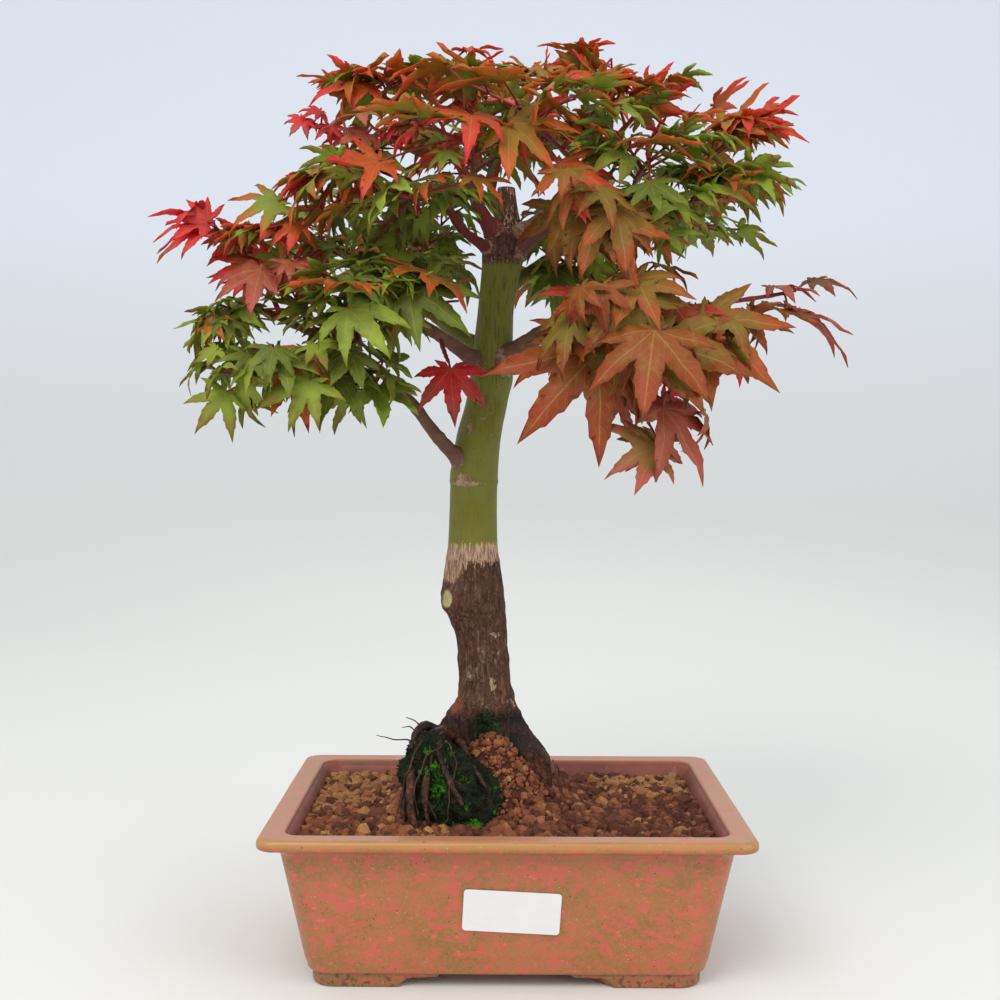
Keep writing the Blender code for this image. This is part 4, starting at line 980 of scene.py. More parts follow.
def apply_modifiers(piece):
    """Keep the shape that the piece's modifiers make, and drop the modifiers."""
    bpy.context.view_layer.update()
    made = piece.evaluated_get(bpy.context.evaluated_depsgraph_get())
    mesh = bpy.data.meshes.new_from_object(made)
    piece.modifiers.clear()
    piece.data = mesh


def foot_lift(past_gap):
    """Height of a foot's lower face by the distance past the edge of a gap: a thin tongue, then
    a round shoulder down to the ground."""
    shoulder = np.clip((past_gap - 11 * MM) / (6 * MM), 0, 1)
    tongue = 3.9 * MM + 0.4 * MM * smooth(-past_gap, -11 * MM, -2 * MM)
    lift = tongue * np.sqrt(np.clip(1 - shoulder ** 2, 0, 1))
    return lift + (FOOT_HEIGHT + 0.6 * MM - lift) * (1 - smooth(past_gap, -0.8 * MM, 0.8 * MM))


def make_feet(finish):
    """A ring of four L-shaped feet: its section, two uprights joined by a lower face with round
    edges, runs round the base, and the lower face rises to the base in the four gaps."""
    inset = outer_inset(FOOT_HEIGHT) + FOOT_SETBACK
    steps = np.linspace(0, math.pi / 2, 5)
    edge = 1.1 * MM
    across = np.concatenate([[0.0], edge * (1 - np.cos(steps)),
                             np.linspace(edge, FOOT_THICK - edge, 5)[1:-1],
                             FOOT_THICK - edge * (1 - np.sin(steps)), [FOOT_THICK]])
    rise = np.concatenate([[FOOT_WALL], edge * (1 - np.sin(steps)), [0.0] * 3,
                           edge * (1 - np.cos(steps)), [FOOT_WALL]])
    outline = fine_ring(inset)
    inner = fine_ring(inset + FOOT_THICK)
    share = (across / FOOT_THICK)[:, None, None]
    plan = outline[None] * (1 - share) + inner[None] * share
    lean = (1 - rise / FOOT_WALL)[:, None, None] * (1 - 2 * share) * 0.9 * MM
    plan = plan - np.sign(plan) * lean * 0.5
    front = np.abs(outline[:, 0]) - FRONT_GAP
    side = np.abs(outline[:, 1]) - SIDE_GAP
    on_side = np.abs(outline[:, 0]) > HALF_LENGTH - inset - WALL_CORNER
    lift = foot_lift(np.where(on_side, side, front))
    top = FOOT_HEIGHT + 1.2 * MM
    z = np.minimum(lift[None, :] + rise[:, None], top)
    points = np.concatenate([plan, z[..., None]], -1)
    rows, columns = z.shape
    points = np.concatenate([points, points[:1]], 0)
    faces = grid_faces(rows + 1, columns)[:, ::-1]
    add_piece("pot_feet", points, faces, finish, "glaze", ("pot",), weld=True, crease=50,
              edge=0.0, top=0.0, inner=0.0, foot=1.0)


def fine_ring(inset, count=720):
    """A closed rectangle with round corners in even steps of its length, anticlockwise."""
    ring = plan_ring([inset], [WALL_CORNER])[0]
    closed = np.vstack([ring, ring[:1]])
    length = np.concatenate([[0], np.cumsum(np.linalg.norm(np.diff(closed, axis=0), axis=1))])
    place = np.linspace(0, length[-1], count, endpoint=False)
    return np.stack([np.interp(place, length, closed[:, k]) for k in range(2)], -1)


# ------------------------------------------------------------------ soil and moss

def soil_height(x, y):
    """Level along the walls, a bell-shaped heap at the trunk, and a steep one between its two
    front roots."""
    heap = ((x - TRUNK_X) / SOIL_SPREAD[0]) ** 2 + ((y - TRUNK_BACK) / SOIL_SPREAD[1]) ** 2
    crotch = (((x - CROTCH[0]) / CROTCH_SPREAD[0]) ** 2
              + ((y - CROTCH[1]) / CROTCH_SPREAD[1]) ** 2)
    return (RIM_TOP - SOIL_DROP + SOIL_MOUND * np.exp(-heap) + CROTCH_HEIGHT * np.exp(-crotch)
            + SOIL_WAVES * noise(np.stack([x, y, x * 0], -1), 0.022, 9))


def stone_shape():
    """A cube of 26 points and 24 faces, two by two to a side, drawn in towards a ball."""
    cells = [cell for cell in np.ndindex(3, 3, 3) if cell != (1, 1, 1)]
    number = {cell: i for i, cell in enumerate(cells)}
    faces = []
    for axis in range(3):
        for side in (0, 2):
            for a, b in np.ndindex(2, 2):
                ring = []
                for step_a, step_b in ((0, 0), (1, 0), (1, 1), (0, 1)):
                    cell = [0, 0, 0]
                    cell[axis] = side
                    cell[(axis + 1) % 3] = a + step_a
                    cell[(axis + 2) % 3] = b + step_b
                    ring.append(number[tuple(cell)])
                faces.append(ring if side else ring[::-1])
    points = np.array(cells, float) - 1
    return points / np.linalg.norm(points, axis=1, keepdims=True) ** 0.75, np.array(faces)


def scatter_grains(centres, radii, rng):
    """Stones at the centres: the shape stretched along three axes, its points pushed about,
    then turned by a random rotation."""
    shape, faces = stone_shape()
    count = len(centres)
    stretch = rng.uniform(0.72, 1.25, (count, 1, 3))
    points = shape[None] * stretch * rng.uniform(0.76, 1.18, (count, len(shape), 1))
    turn = np.linalg.qr(rng.normal(size=(count, 3, 3)))[0]
    turn *= np.sign(np.linalg.det(turn))[:, None, None]
    points = np.einsum("nij,nkj->nki", turn, points) * radii[:, None, None]
    return points + centres[:, None], repeat_faces(faces, count, len(shape))


def make_soil(pot):
    """A bed that follows the soil's height, and grains laid on it from a shaken grid. The bed
    takes the darkest soil tone, painted shade in the gaps between the grains.
    """
    rng = np.random.default_rng(11)
    share = np.concatenate([np.linspace(0, 1, 60)[1:], [1.0]])
    edge = plan_ring([inner_inset(RIM_TOP - SOIL_DROP) + 0.5 * MM], [RIM_CORNER])[0]
    heart = np.array([TRUNK_X, TRUNK_BACK])
    plan = heart + share[::-1, None, None] * (edge[None] - heart)
    z = soil_height(plan[..., 0], plan[..., 1]) - 1.2 * MM
    z[0] = RIM_TOP - 16 * MM
    points = np.concatenate([plan, z[..., None]], -1)
    rows, columns = z.shape
    faces = [grid_faces(rows, columns), cap_row(0, columns)[:, ::-1],
             cap_row((rows - 1) * columns, columns)]
    finish = soil_finish(pot)
    # tone=0.12 paints the bed in the darkest soil colour: painted shade in the gaps between the
    # grains
    add_piece("soil_ground", points, faces, finish, "akadama", ("soil_bed",), tone=0.12, pale=0.0)

    half_x, half_y = edge.max(0) - 1.2 * MM
    step = pot.grain * 0.80
    across, deep = np.meshgrid(np.arange(-half_x, half_x, step),
                               np.arange(-half_y, half_y, step * 0.87))
    across[::2] += step / 2
    spots = np.stack([across.ravel(), deep.ravel()], -1)
    spots = np.concatenate([spots, rng.uniform((-half_x, -half_y), (half_x, half_y),
                                                 (SHAKEN_GRAINS, 2)),
                            rng.normal((-4 * MM, -12 * MM), (11 * MM, 7 * MM), (CROTCH_GRAINS, 2))])
    spots += rng.normal(0, step * 0.22, spots.shape)
    corner = np.maximum(np.abs(spots) - (half_x - 6 * MM, half_y - 6 * MM), 0)
    spots = spots[(np.abs(spots) < (half_x, half_y)).all(1) & (np.hypot(*corner.T) < 6 * MM)]
    near = np.hypot(spots[:, 0] - TRUNK_X, spots[:, 1] + 8 * MM)
    small = 0.46 + 0.54 * smooth(near, 14 * MM, 36 * MM)
    radii = pot.grain * 0.5 * small * rng.lognormal(-0.04, 0.38, len(spots)).clip(0.5, 2.0)
    z = soil_height(*spots.T) - radii * 0.35 + rng.uniform(-0.6, 1.5, len(spots)) * MM
    room = np.minimum(half_x - np.abs(spots[:, 0]), half_y - np.abs(spots[:, 1])) + 1.6 * MM
    radii = np.minimum(radii, np.maximum(room, 0.9 * MM))
    centres = np.column_stack([spots, z])
    points, faces = scatter_grains(centres, radii, rng)
    back_left = smooth(-spots[:, 0], 40 * MM, 75 * MM) * smooth(spots[:, 1], -22 * MM, 22 * MM)
    back_right = smooth(spots[:, 0], 35 * MM, 80 * MM) * smooth(spots[:, 1], 5 * MM, 34 * MM)
    front = np.exp(-((spots[:, 0] - 5 * MM) / (11 * MM)) ** 2
                   - ((spots[:, 1] + 58 * MM) / (9 * MM)) ** 2)
    chance = 0.05 + 0.75 * np.clip(back_left + back_right, 0, 1) + 0.6 * front
    pale = (rng.uniform(size=len(spots)) < chance) * rng.uniform(0.45, 1.0, len(spots))
    tone = (rng.normal(0.52, 0.17, len(spots)) + 0.22 * (1 - small)
            - 0.1 * smooth(spots[:, 0], 0, 60 * MM))
    each = points.shape[1]
    add_piece("soil_grains", points, faces, finish, "akadama", ("soil_bed",), crease=38,
              tone=np.repeat(tone, each), pale=np.repeat(pale, each))


def mound_surface(way):
    """The old root stump's surface along directions from its middle: an ellipsoid, swollen and
    pitted by noise of three sizes."""
    swell = (1 + 0.24 * noise(way, 0.9, 21) + 0.16 * noise(way, 0.38, 22)
             + 0.07 * noise(way, 0.15, 23))
    out = way * MOUND_RADII * swell[..., None]
    lean = 0.45 * np.maximum(out[..., 2:], 0)
    return MOUND_CENTRE + (0, 0, RIM_TOP) + out - lean * (1, 0.1, 0)


def make_moss(pot):
    """The stump as a ball of directions pushed out to its surface, and tufts of moss on it."""
    rows, columns = 150, 220
    tilt = np.linspace(0.0, math.pi, rows)[:, None]
    turn = np.linspace(0, 2 * math.pi, columns, endpoint=False)[None, :]
    way = np.stack([np.sin(tilt) * np.cos(turn), np.sin(tilt) * np.sin(turn),
                    -np.cos(tilt) * np.ones_like(turn)], -1)
    points = mound_surface(way)
    points = points + way * (rough_noise(points, 2.4 * MM, 31) * 0.55 * MM)[..., None]
    finish = moss_finish(pot)
    add_piece("moss_ground", points, grid_faces(rows, columns), finish, "moss", ("moss_mound",),
              weld=True, fresh=moss_fresh(points).ravel())
    add_tufts(finish)


def moss_fresh(points):
    """How bright the moss is: most low in front and on the upper left, none on the far side."""
    low = MOUND_CENTRE + (4 * MM, -17 * MM, RIM_TOP - 9 * MM)
    high = MOUND_CENTRE + (-8 * MM, -14 * MM, RIM_TOP + 9 * MM)
    near_low = np.exp(-(np.linalg.norm((points - low) / (1.4, 1, 0.8), axis=-1) / (8 * MM)) ** 2)
    near_high = np.exp(-(np.linalg.norm((points - high) / (1, 1, 1.5), axis=-1) / (8 * MM)) ** 2)
    spots = smooth(noise(points, 3.5 * MM, 27), 0.25, 0.65) * (points[..., 1] < MOUND_CENTRE[1])
    return 1.1 * near_low + 0.7 * near_high + 0.5 * spots


def add_tufts(finish):
    """Tufts of pointed leaflets: each leaflet is two triangles folded along its middle, set on
    the stump at random and leaning off its surface."""
    rng = np.random.default_rng(7)
    way = unit(rng.normal(size=(TUFTS, 3)) + (0.1, -0.55, 0.25))
    way = way[way[:, 2] > -0.75]
    count = len(way)
    foot = mound_surface(way)
    lean = unit(way + rng.normal(0, 0.45, (count, 3)) + (0, 0, 0.35))
    side = unit(np.cross(lean, rng.normal(size=(count, 3))))
    size = rng.uniform(0.9, 2.1, (count, 1)) * MM
    fresh = moss_fresh(foot)
    size = size * (0.7 + 0.5 * np.clip(fresh, 0, 1))[:, None]
    fold = np.cross(side, lean)
    points = np.stack([foot - way * 0.3 * MM, foot + lean * size * 0.5 - side * size * 0.24,
                       foot + lean * size, foot + lean * size * 0.5 + side * size * 0.24,
                       foot + lean * size * 0.45 + fold * size * 0.12], 1)
    faces = repeat_faces(np.array(((0, 4, 1), (1, 4, 2), (2, 4, 3), (3, 4, 0))), count, 5)
    add_piece("moss_tufts", points, faces, finish, "moss", ("moss_mound",),
              fresh=np.repeat(fresh + rng.uniform(-0.15, 0.35, count), 5))


# Old roots over the stump: points in mm from the pot's middle and its rim's top, radii in mm
OLD_ROOTS = (
    (((-27, -4, 29), (-32, -14, 31), (-38, -24, 27), (-42, -33, 16), (-42, -38, 3),
      (-40, -40, -8)), 3.4, 1.5),
    (((-26, -6, 28), (-30, -20, 30), (-29, -33, 23), (-24, -40, 14), (-19, -42, 5)), 2.8, 0.9),
    (((-33, -8, 31), (-41, -15, 26), (-45, -23, 13), (-46, -29, 0), (-45, -33, -8)), 3.0, 1.2),
    (((-23, -5, 27), (-20, -17, 26), (-15, -28, 19), (-9, -34, 11)), 2.4, 0.8),
    (((-38, -24, 24), (-35, -34, 20), (-36, -39, 8), (-34, -41, -4)), 2.2, 0.9),
    (((-31, -10, 31), (-37, -14, 35), (-41, -20, 33), (-43, -26, 26)), 2.9, 1.3))
HAIR_ROOTS = (
    ((-30, -30, 29), (-36, -40, 25), (-40, -43, 14), (-39, -44, 2)),
    ((-28, -28, 31), (-22, -37, 24), (-24, -42, 16)),
    ((-38, -20, 33), (-44, -22, 36), (-48, -24, 36)),
    ((-40, -24, 29), (-50, -26, 31), (-58, -28, 33)),
    ((-38, -26, 31), (-43, -36, 22), (-45, -38, 12), (-47, -40, 0)),
    ((-33, -34, 26), (-36, -42, 12), (-31, -44, 0)),
    ((-26, -36, 22), (-25, -43, 8), (-27, -45, -2)),
    ((-41, -30, 20), (-43, -36, 8), (-42, -40, -5)),
    ((22, -10, 16), (25, -14, 6), (27, -18, -4)),
    ((21, -8, 18), (27, -10, 8), (31, -14, -4)),
    ((-44, -26, 14), (-48, -30, 4), (-49, -33, -5)),
    ((-37, -18, 35), (-41, -20, 39), (-45, -19, 40)))


def make_old_roots(finish):
    """Dead roots over the stump and hair roots that hang from it, each a tube along a spline."""
    base = np.array((0, 0, RIM_TOP))
    count, sides = 40, 12
    paths = np.stack([base + spline(points, count) * MM for points, _, _ in OLD_ROOTS])
    thick = np.array([(a, b) for _, a, b in OLD_ROOTS]) * MM
    taper = thick[:, :1] + (thick[:, 1:] - thick[:, :1]) * np.linspace(0, 1, count)
    taper[:, -1] *= 0.05
    points = sweep(paths, taper, sides)
    gnarl = noise(points, 2.2 * MM, 41) * 0.55 + noise(points, 5.5 * MM, 42) * 0.8
    swell = gnarl * taper[..., None] / 3
    points += unit(points - paths[:, :, None]) * swell[..., None]
    faces = repeat_faces(grid_faces(count, sides), len(OLD_ROOTS), count * sides)
    heavy = points.reshape(-1, 3)

    fine_count, fine_sides = 26, 6
    paths = np.stack([base + spline(points, fine_count) * MM for points in HAIR_ROOTS])
    paths += np.stack([noise(paths, 5 * MM, 50 + k) for k in range(3)], -1) * 1.1 * MM
    taper = np.linspace(0.42, 0.16, fine_count) * MM * np.ones((len(HAIR_ROOTS), 1))
    hairs = sweep(paths, taper, fine_sides).reshape(-1, 3)
    hair_faces = repeat_faces(grid_faces(fine_count, fine_sides), len(HAIR_ROOTS),
                              fine_count * fine_sides) + len(heavy)
    add_piece("old_roots", np.concatenate([heavy, hairs]), [faces, hair_faces], finish, "bark",
              ("moss_mound",), old=0.9, band=0.0, scar=0.0, wound=0.0, ridged=0.0,
              raw=0.0, damp=np.concatenate([np.full(len(heavy), 0.95), np.full(len(hairs), 0.55)]),
              mossy=0.0)


# ------------------------------------------------------------------ trunk and branches

def trunk_section(z):
    """Axis along X and bare radius at a height, from a smooth curve through the profile."""
    share, axis, radius = spline(TRUNK_PROFILE, 400).T
    at = (z - RIM_TOP) / TRUNK_HEIGHT
    return np.interp(at, share, axis) * MM, np.interp(at, share, radius) * MM


def blot(points, x, z, half_x, half_z):
    """A soft oval on the trunk's front: a bell of the distance from its middle."""
    bell = np.exp(-((points[..., 0] - x * MM) / (half_x * MM)) ** 2
                  - ((points[..., 2] - z * MM) / (half_z * MM)) ** 2)
    return bell * (points[..., 1] < TRUNK_BACK)


def blots(points, table):
    """The sum of a table's soft ovals, each times its weight."""
    return sum(blot(points, *oval) * weight for *oval, weight in table)


def make_trunk(tree):
    """A grid of heights and angles: the radius is the fourth-power sum of the bare trunk, which
    falls away between the front roots, and a bell round each root, then bark noise on top."""
    rows, columns = 400, 200
    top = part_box("trunk")[1].z
    z = np.linspace(RIM_TOP - 20 * MM, top - 0.6 * MM, rows)[:, None] * np.ones(columns)
    turn = np.linspace(-math.pi, math.pi, columns, endpoint=False) * np.ones((rows, 1))
    axis, bare = trunk_section(z)
    above = (z - RIM_TOP) / MM
    front = np.exp(-((turn + math.pi / 2 + 0.08) / 0.55) ** 2)
    bare = bare * (1 - 0.58 * front * smooth(-above, -46.0, -26.0))
    total = bare ** 4
    for way, width, reach in ROOTS:
        off = (turn - math.radians(way) + math.pi) % (2 * math.pi) - math.pi
        along = spline(reach, 80)
        lobe = np.interp(above, along[:, 0], np.maximum(along[:, 1], 0)) * MM
        total = total + (lobe * np.exp(-(off / math.radians(width)) ** 2)) ** 4
    radius = total ** 0.25
    round_way = np.stack([np.cos(turn), np.sin(turn), 0 * turn], -1)
    centre = np.stack([axis, np.full_like(axis, TRUNK_BACK), z], -1)
    points = centre + round_way * radius[..., None]

    old = 1 - smooth(above, 100, 112)
    ridges = noise(points, (1.5 * MM, 1.5 * MM, 13 * MM), 61)
    fibre = noise(points, (0.8 * MM, 0.8 * MM, 6 * MM), 62)
    lumps = rough_noise(points, (9 * MM, 9 * MM, 16 * MM), 63)
    grown = rough_noise(points, (14 * MM, 14 * MM, 30 * MM), 64, 2)
    knobs = blots(points, KNOBS)
    collar = np.exp(-((above - 250) / 4.0) ** 2)
    push = (old * (ridges * 0.85 + fibre * 0.40 + lumps * 0.75) + (1 - old) * fibre * 0.07
            + grown * 0.35 + knobs + collar * (0.4 + lumps * 0.8)
            + 0.35 * np.exp(-((above - 145.5) / 1.2) ** 2))
    wound = blot(points, *WOUND)
    push = push - 1.0 * smooth(wound, 0.35, 0.8) + 0.7 * np.exp(-((wound - 0.25) / 0.15) ** 2)
    points = points + round_way * (push * MM)[..., None]

    # Close both ends: rings that shrink to the axis, the upper one a slightly dished cut
    shrink = np.array([0.93, 0.75, 0.45, 0.0])[:, None, None]
    level = np.array([0.35, 0.55, 0.35, 0.2])[:, None] * MM
    caps = []
    for row, sign in ((0, -1), (-1, 1)):
        ring = centre[row] + (points[row] - centre[row]) * shrink
        ring[..., 2] += sign * level
        caps.append(ring[::sign])
    points = np.concatenate([caps[0], points, caps[1]])

    scars = blots(points, SCARS)
    height = points[..., 2] / MM
    for middle, half, weight in RINGS:
        scars += np.exp(-((height - middle) / half) ** 2) * weight
    traits = {
        "old": 1 - smooth(height, 176, 191) + 0.8 * smooth(height, 310, 318),
        "band": (smooth(height + 9 * smooth(-points[..., 0] / MM, 17, 25), 170, 184)
                 * (1 - smooth(height, 182, 191)) + 0.5 * smooth(height, 324, 330)),
        "damp": 1 - smooth(height, 98, 121),
        "mossy": blots(points, MOSS_AND_RECESS_SHADE),
        "raw": blots(points, RAW),
        "ridged": smooth(height, 225, 275) * 0.9,
        "scar": scars,
        "wound": np.concatenate([np.zeros((4, columns)), wound,
                                 np.full((4, columns), 1.0)])}
    rows += 8
    finish = trunk_finish(tree)
    add_piece("trunk_wood", points, grid_faces(rows, columns), finish, "bark", ("trunk",),
              weld=True, **{name: field.ravel() for name, field in traits.items()})
    return finish


def branch_path(name, count=BRANCH_POINTS):
    """Centre line of a branch and its radius at each point."""
    share, thick, thin = BRANCHES[name][:3]
    height = RIM_TOP + share * TRUNK_HEIGHT
    raw = np.array(TRUNK_PROFILE)
    base = np.array((np.interp(share, raw[:, 0], raw[:, 1]) * MM, TRUNK_BACK, height))
    steps = np.vstack([(0, 0, 0), BRANCHES[name][5]]) * MM
    return base + spline(steps, count), np.linspace(thick, thin, count) * MM


def make_branches(tree):
    """Each branch is a ring carried along its centre line. Its radius tapers, flares into a
    collar at the trunk, swells at the nodes and carries bark noise, and its end is rounded."""
    finish = branch_finish(tree)
    count, sides = 110, 20
    for number, name in enumerate(BRANCHES):
        path, radii = branch_path(name, count)
        step = np.linalg.norm(np.diff(path, axis=0), axis=1)
        along = np.concatenate([[0], np.cumsum(step)])
        _, bare = trunk_section(path[:1, 2])
        out = along - bare
        radii = radii * (1 + 0.75 * np.exp(-np.maximum(out, 0) / (4.5 * MM)))
        spacing = (17 + 2 * (number % 3)) * MM
        off = (along + 5 * MM * number) % spacing - spacing / 2
        radii = radii + 0.32 * MM * np.exp(-(off / (1.3 * MM)) ** 2)
        left = along[-1] - along
        radii = radii * np.sqrt(np.clip(left / (1.6 * MM), 0.0, 1.0) * 0.998 + 0.002)
        points = sweep(path, radii, sides)
        way = unit(points - path[:, None])
        rough = rough_noise(points, 3.2 * MM, 70 + number, 2) * 0.30
        points = points + way * (rough * np.minimum(radii / MM, 1)[:, None] * MM)[..., None]
        scar = (0.45 * np.exp(-(np.maximum(out, 0) / (6 * MM)) ** 2)
                + 0.34 * np.exp(-(off / (1.4 * MM)) ** 2))
        olive, red = BRANCHES[name][3:5]
        add_piece(name + "_wood", points, grid_faces(count, sides), finish, "branch_bark",
                  (name,), weld=True, scar=np.repeat(scar, sides), olive=olive, red=red)


# ------------------------------------------------------------------ leaves

def twig_path(name, count):
    """A quadratic curve from the branch's skin to the end of the reach, bent outwards."""
    branch, share, reach = SPRAYS[name][:3]
    path, radii = branch_path(branch)
    place = share * (BRANCH_POINTS - 1)
    i = min(int(place), BRANCH_POINTS - 2)
    along = unit(path[i + 1] - path[i])
    foot = path[i] + (path[i + 1] - path[i]) * (place - i)
    reach = np.array(reach) * MM
    out = along if share == 1.0 else unit(reach - along * reach.dot(along))
    start = foot + out * (-0.5 * MM if share == 1.0 else radii[i] * 0.6)
    end = foot + reach
    bend = (start + end) / 2 + out * 0.18 * np.linalg.norm(reach)
    return curve(start, bend, end, count)


def leaf_shape(lobes):
    """Flat points of blades in units of their length, from each lobe's angle, length and breadth.
    A lobe is its vein's stations and two toothed edges; all lobes share the stalk's joint and
    the notches between them. Returns x forward, y sideways, the across and along traits."""
    angle, length, breadth = lobes
    stations = np.array([(s, 0.0) for s in VEIN] + [(s, -w) for s, w in EDGE]
                        + [(s, w) for s, w in EDGE])
    along = stations[:, 0] * length[..., None]
    across = stations[:, 1] * length[..., None] * breadth[..., None]
    cos, sin = np.cos(angle)[..., None], np.sin(angle)[..., None]
    x = (along * cos - across * sin).reshape(len(angle), -1)
    y = (along * sin + across * cos).reshape(len(angle), -1)
    first = angle[:, :1] - 0.42
    last = angle[:, -1:] + 0.42
    between = np.concatenate([first, (angle[:, 1:] + angle[:, :-1]) / 2, last], 1)
    reach = NOTCH * np.concatenate([length[:, :1] * 0.7, np.minimum(length[:, 1:], length[:, :-1]),
                                    length[:, -1:] * 0.7], 1) ** 0.6
    notch_x, notch_y = reach * np.cos(between), reach * np.sin(between)
    centre = np.zeros((len(angle), 1))
    x = np.concatenate([centre, notch_x, x], 1)
    y = np.concatenate([centre, notch_y, y], 1)
    edge = np.concatenate([[0.0] * len(VEIN), [1.0] * (2 * len(EDGE))])
    edge = np.concatenate([[0.0], [1.0] * (len(LOBES) + 1), np.tile(edge, len(LOBES))])
    return x, y, edge, np.hypot(x, y)


def leaf_faces():
    """Faces of one blade, by number of corners: each side of a lobe is a triangle at the joint,
    three faces that each take in a tooth, and one at the tip."""
    triangles, quads, pentagons = [], [], []
    veins, edges = len(VEIN), len(EDGE)
    for lobe in range(len(LOBES)):
        vein = 1 + len(LOBES) + 1 + lobe * (veins + 2 * edges)
        for side in (0, 1):
            notch = 1 + lobe + side
            edge = vein + veins + side * edges
            rings = [[0, vein, notch], [vein, vein + 1, edge + 1, edge, notch],
                     [vein + 1, vein + 2, edge + 3, edge + 2, edge + 1],
                     [vein + 2, vein + 3, edge + 5, edge + 4, edge + 3],
                     [vein + 3, vein + 4, edge + 6, edge + 5]]
            for ring in rings:
                ring = ring if side else ring[::-1]
                {3: triangles, 4: quads, 5: pentagons}[len(ring)].append(ring)
    return [np.array(group) for group in (triangles, quads, pentagons)]


def lay_blades(joint, forward, normal, size, rng):
    """Blades in space: the flat shape bowed down by the square of the distance from the joint,
    its lobes folded up along their veins, rippled, and each lobe hanging a little differently."""
    count = len(joint)
    angle = np.radians([a for a, _ in LOBES]) + rng.normal(0, 0.055, (count, len(LOBES)))
    length = np.array([s for _, s in LOBES]) * rng.uniform(0.86, 1.1, (count, len(LOBES)))
    length[:, [0, -1]] *= rng.uniform(0.55, 1.15, (count, 1))
    breadth = rng.uniform(0.86, 1.12, (count, 1)) * rng.uniform(0.92, 1.08, (count, len(LOBES)))
    x, y, edge, along = leaf_shape((angle, length, breadth))
    sag = rng.uniform(0.06, 0.42, (count, 1))
    curl = rng.normal(0, 0.10, (count, 1))
    hang = np.repeat(rng.normal(0, 0.16, (count, len(LOBES))), len(VEIN) + 2 * len(EDGE), axis=1)
    hang = np.concatenate([np.zeros((count, len(LOBES) + 2)), hang], 1)
    fold = edge[None] * 0.055 * rng.uniform(0.3, 1.5, (count, 1)) * np.minimum(along * 2, 1)
    ripple = 0.02 * np.sin(along * 14 + rng.uniform(0, 6, (count, 1)) + 3 * np.arctan2(y, x))
    z = fold + ripple - (sag + hang) * along ** 2 + curl * y * np.abs(y)
    # Bowing shortens the reach a little, so that a blade keeps its length
    pull = 1 - 0.5 * (sag + hang) ** 2 * along ** 2
    side = np.cross(normal, forward)
    points = (forward[:, None] * (x * pull)[..., None] + side[:, None] * (y * pull)[..., None]
              + normal[:, None] * z[..., None])
    return joint[:, None] + points * size[:, None, None], edge, along


def turned(vectors, axes, angles):
    """Vectors turned about unit axes: v cos a + (k x v) sin a + k (k.v)(1 - cos a)."""
    cos, sin = np.cos(angles)[..., None], np.sin(angles)[..., None]
    inner = (vectors * axes).sum(-1, keepdims=True)
    return vectors * cos + np.cross(axes, vectors) * sin + axes * inner * (1 - cos)


def curve(start, bend, end, count):
    """A quadratic Bezier curve: (1-t)2 start + 2t(1-t) bend + t2 end."""
    t = np.linspace(0, 1, count)[:, None]
    return start * (1 - t) ** 2 + bend * 2 * t * (1 - t) + end * t ** 2


def side_shoots(main, places, rng):
    """Short twigs that leave a spray's twig left and right in turn, a little upwards."""
    length = np.linalg.norm(main[-1] - main[0])
    shoots = []
    hand = rng.choice((-1, 1))
    for place in places:
        i = round(place * (len(main) - 2)) + 1
        along = unit(main[i] - main[i - 1])
        up = unit(np.cross(unit(np.cross(along, (0.0, 0.0, 1.0))), along))
        hand = -hand
        way = turned(along, up, np.array(hand * math.radians(rng.uniform(35, 65))))
        way = unit(way + up * rng.uniform(-0.2, 0.5))
        reach = np.clip(length * SHOOT_REACH * rng.uniform(0.8, 1.3), 12 * MM, 27 * MM)
        end = main[i] + way * reach
        shoots.append(curve(main[i], (main[i] + end) / 2 + along * reach * 0.15, end, 12))
    return shoots


def long_shoots(main, ends):
    """Bowed twigs from a spray's twig, a third of the way along, to the given ends."""
    start = main[len(main) // 3]
    shoots = []
    for end in ends:
        end = np.array(end) * MM
        lift = np.array((0.0, 0.0, 0.15)) * np.linalg.norm(end - start)
        shoots.append(curve(start, (start + end) / 2 + lift, end, 12))
    return shoots


def leaves_on(path, pairs):
    """Where leaves stand on a twig and which way they head: one at the tip, then opposite pairs
    back along it."""
    side = unit(np.cross(path[-1] - path[0], (0.0, 0.0, 1.0)))
    tip = unit(path[-1] - path[-2])
    places = [(path[-1], tip, unit(np.cross(side, tip)))]
    for pair in range(pairs, 0, -1):
        i = round((len(path) - 1) * pair / (pairs + 1))
        along = unit(path[i] - path[i - 1])
        up = unit(np.cross(side, along))
        spread = TIP_SPREAD if pair == pairs else PAIR_SPREAD
        for hand in (-1, 1):
            places.append((path[i], turned(along, up, np.array(-hand * spread)), up))
    return places


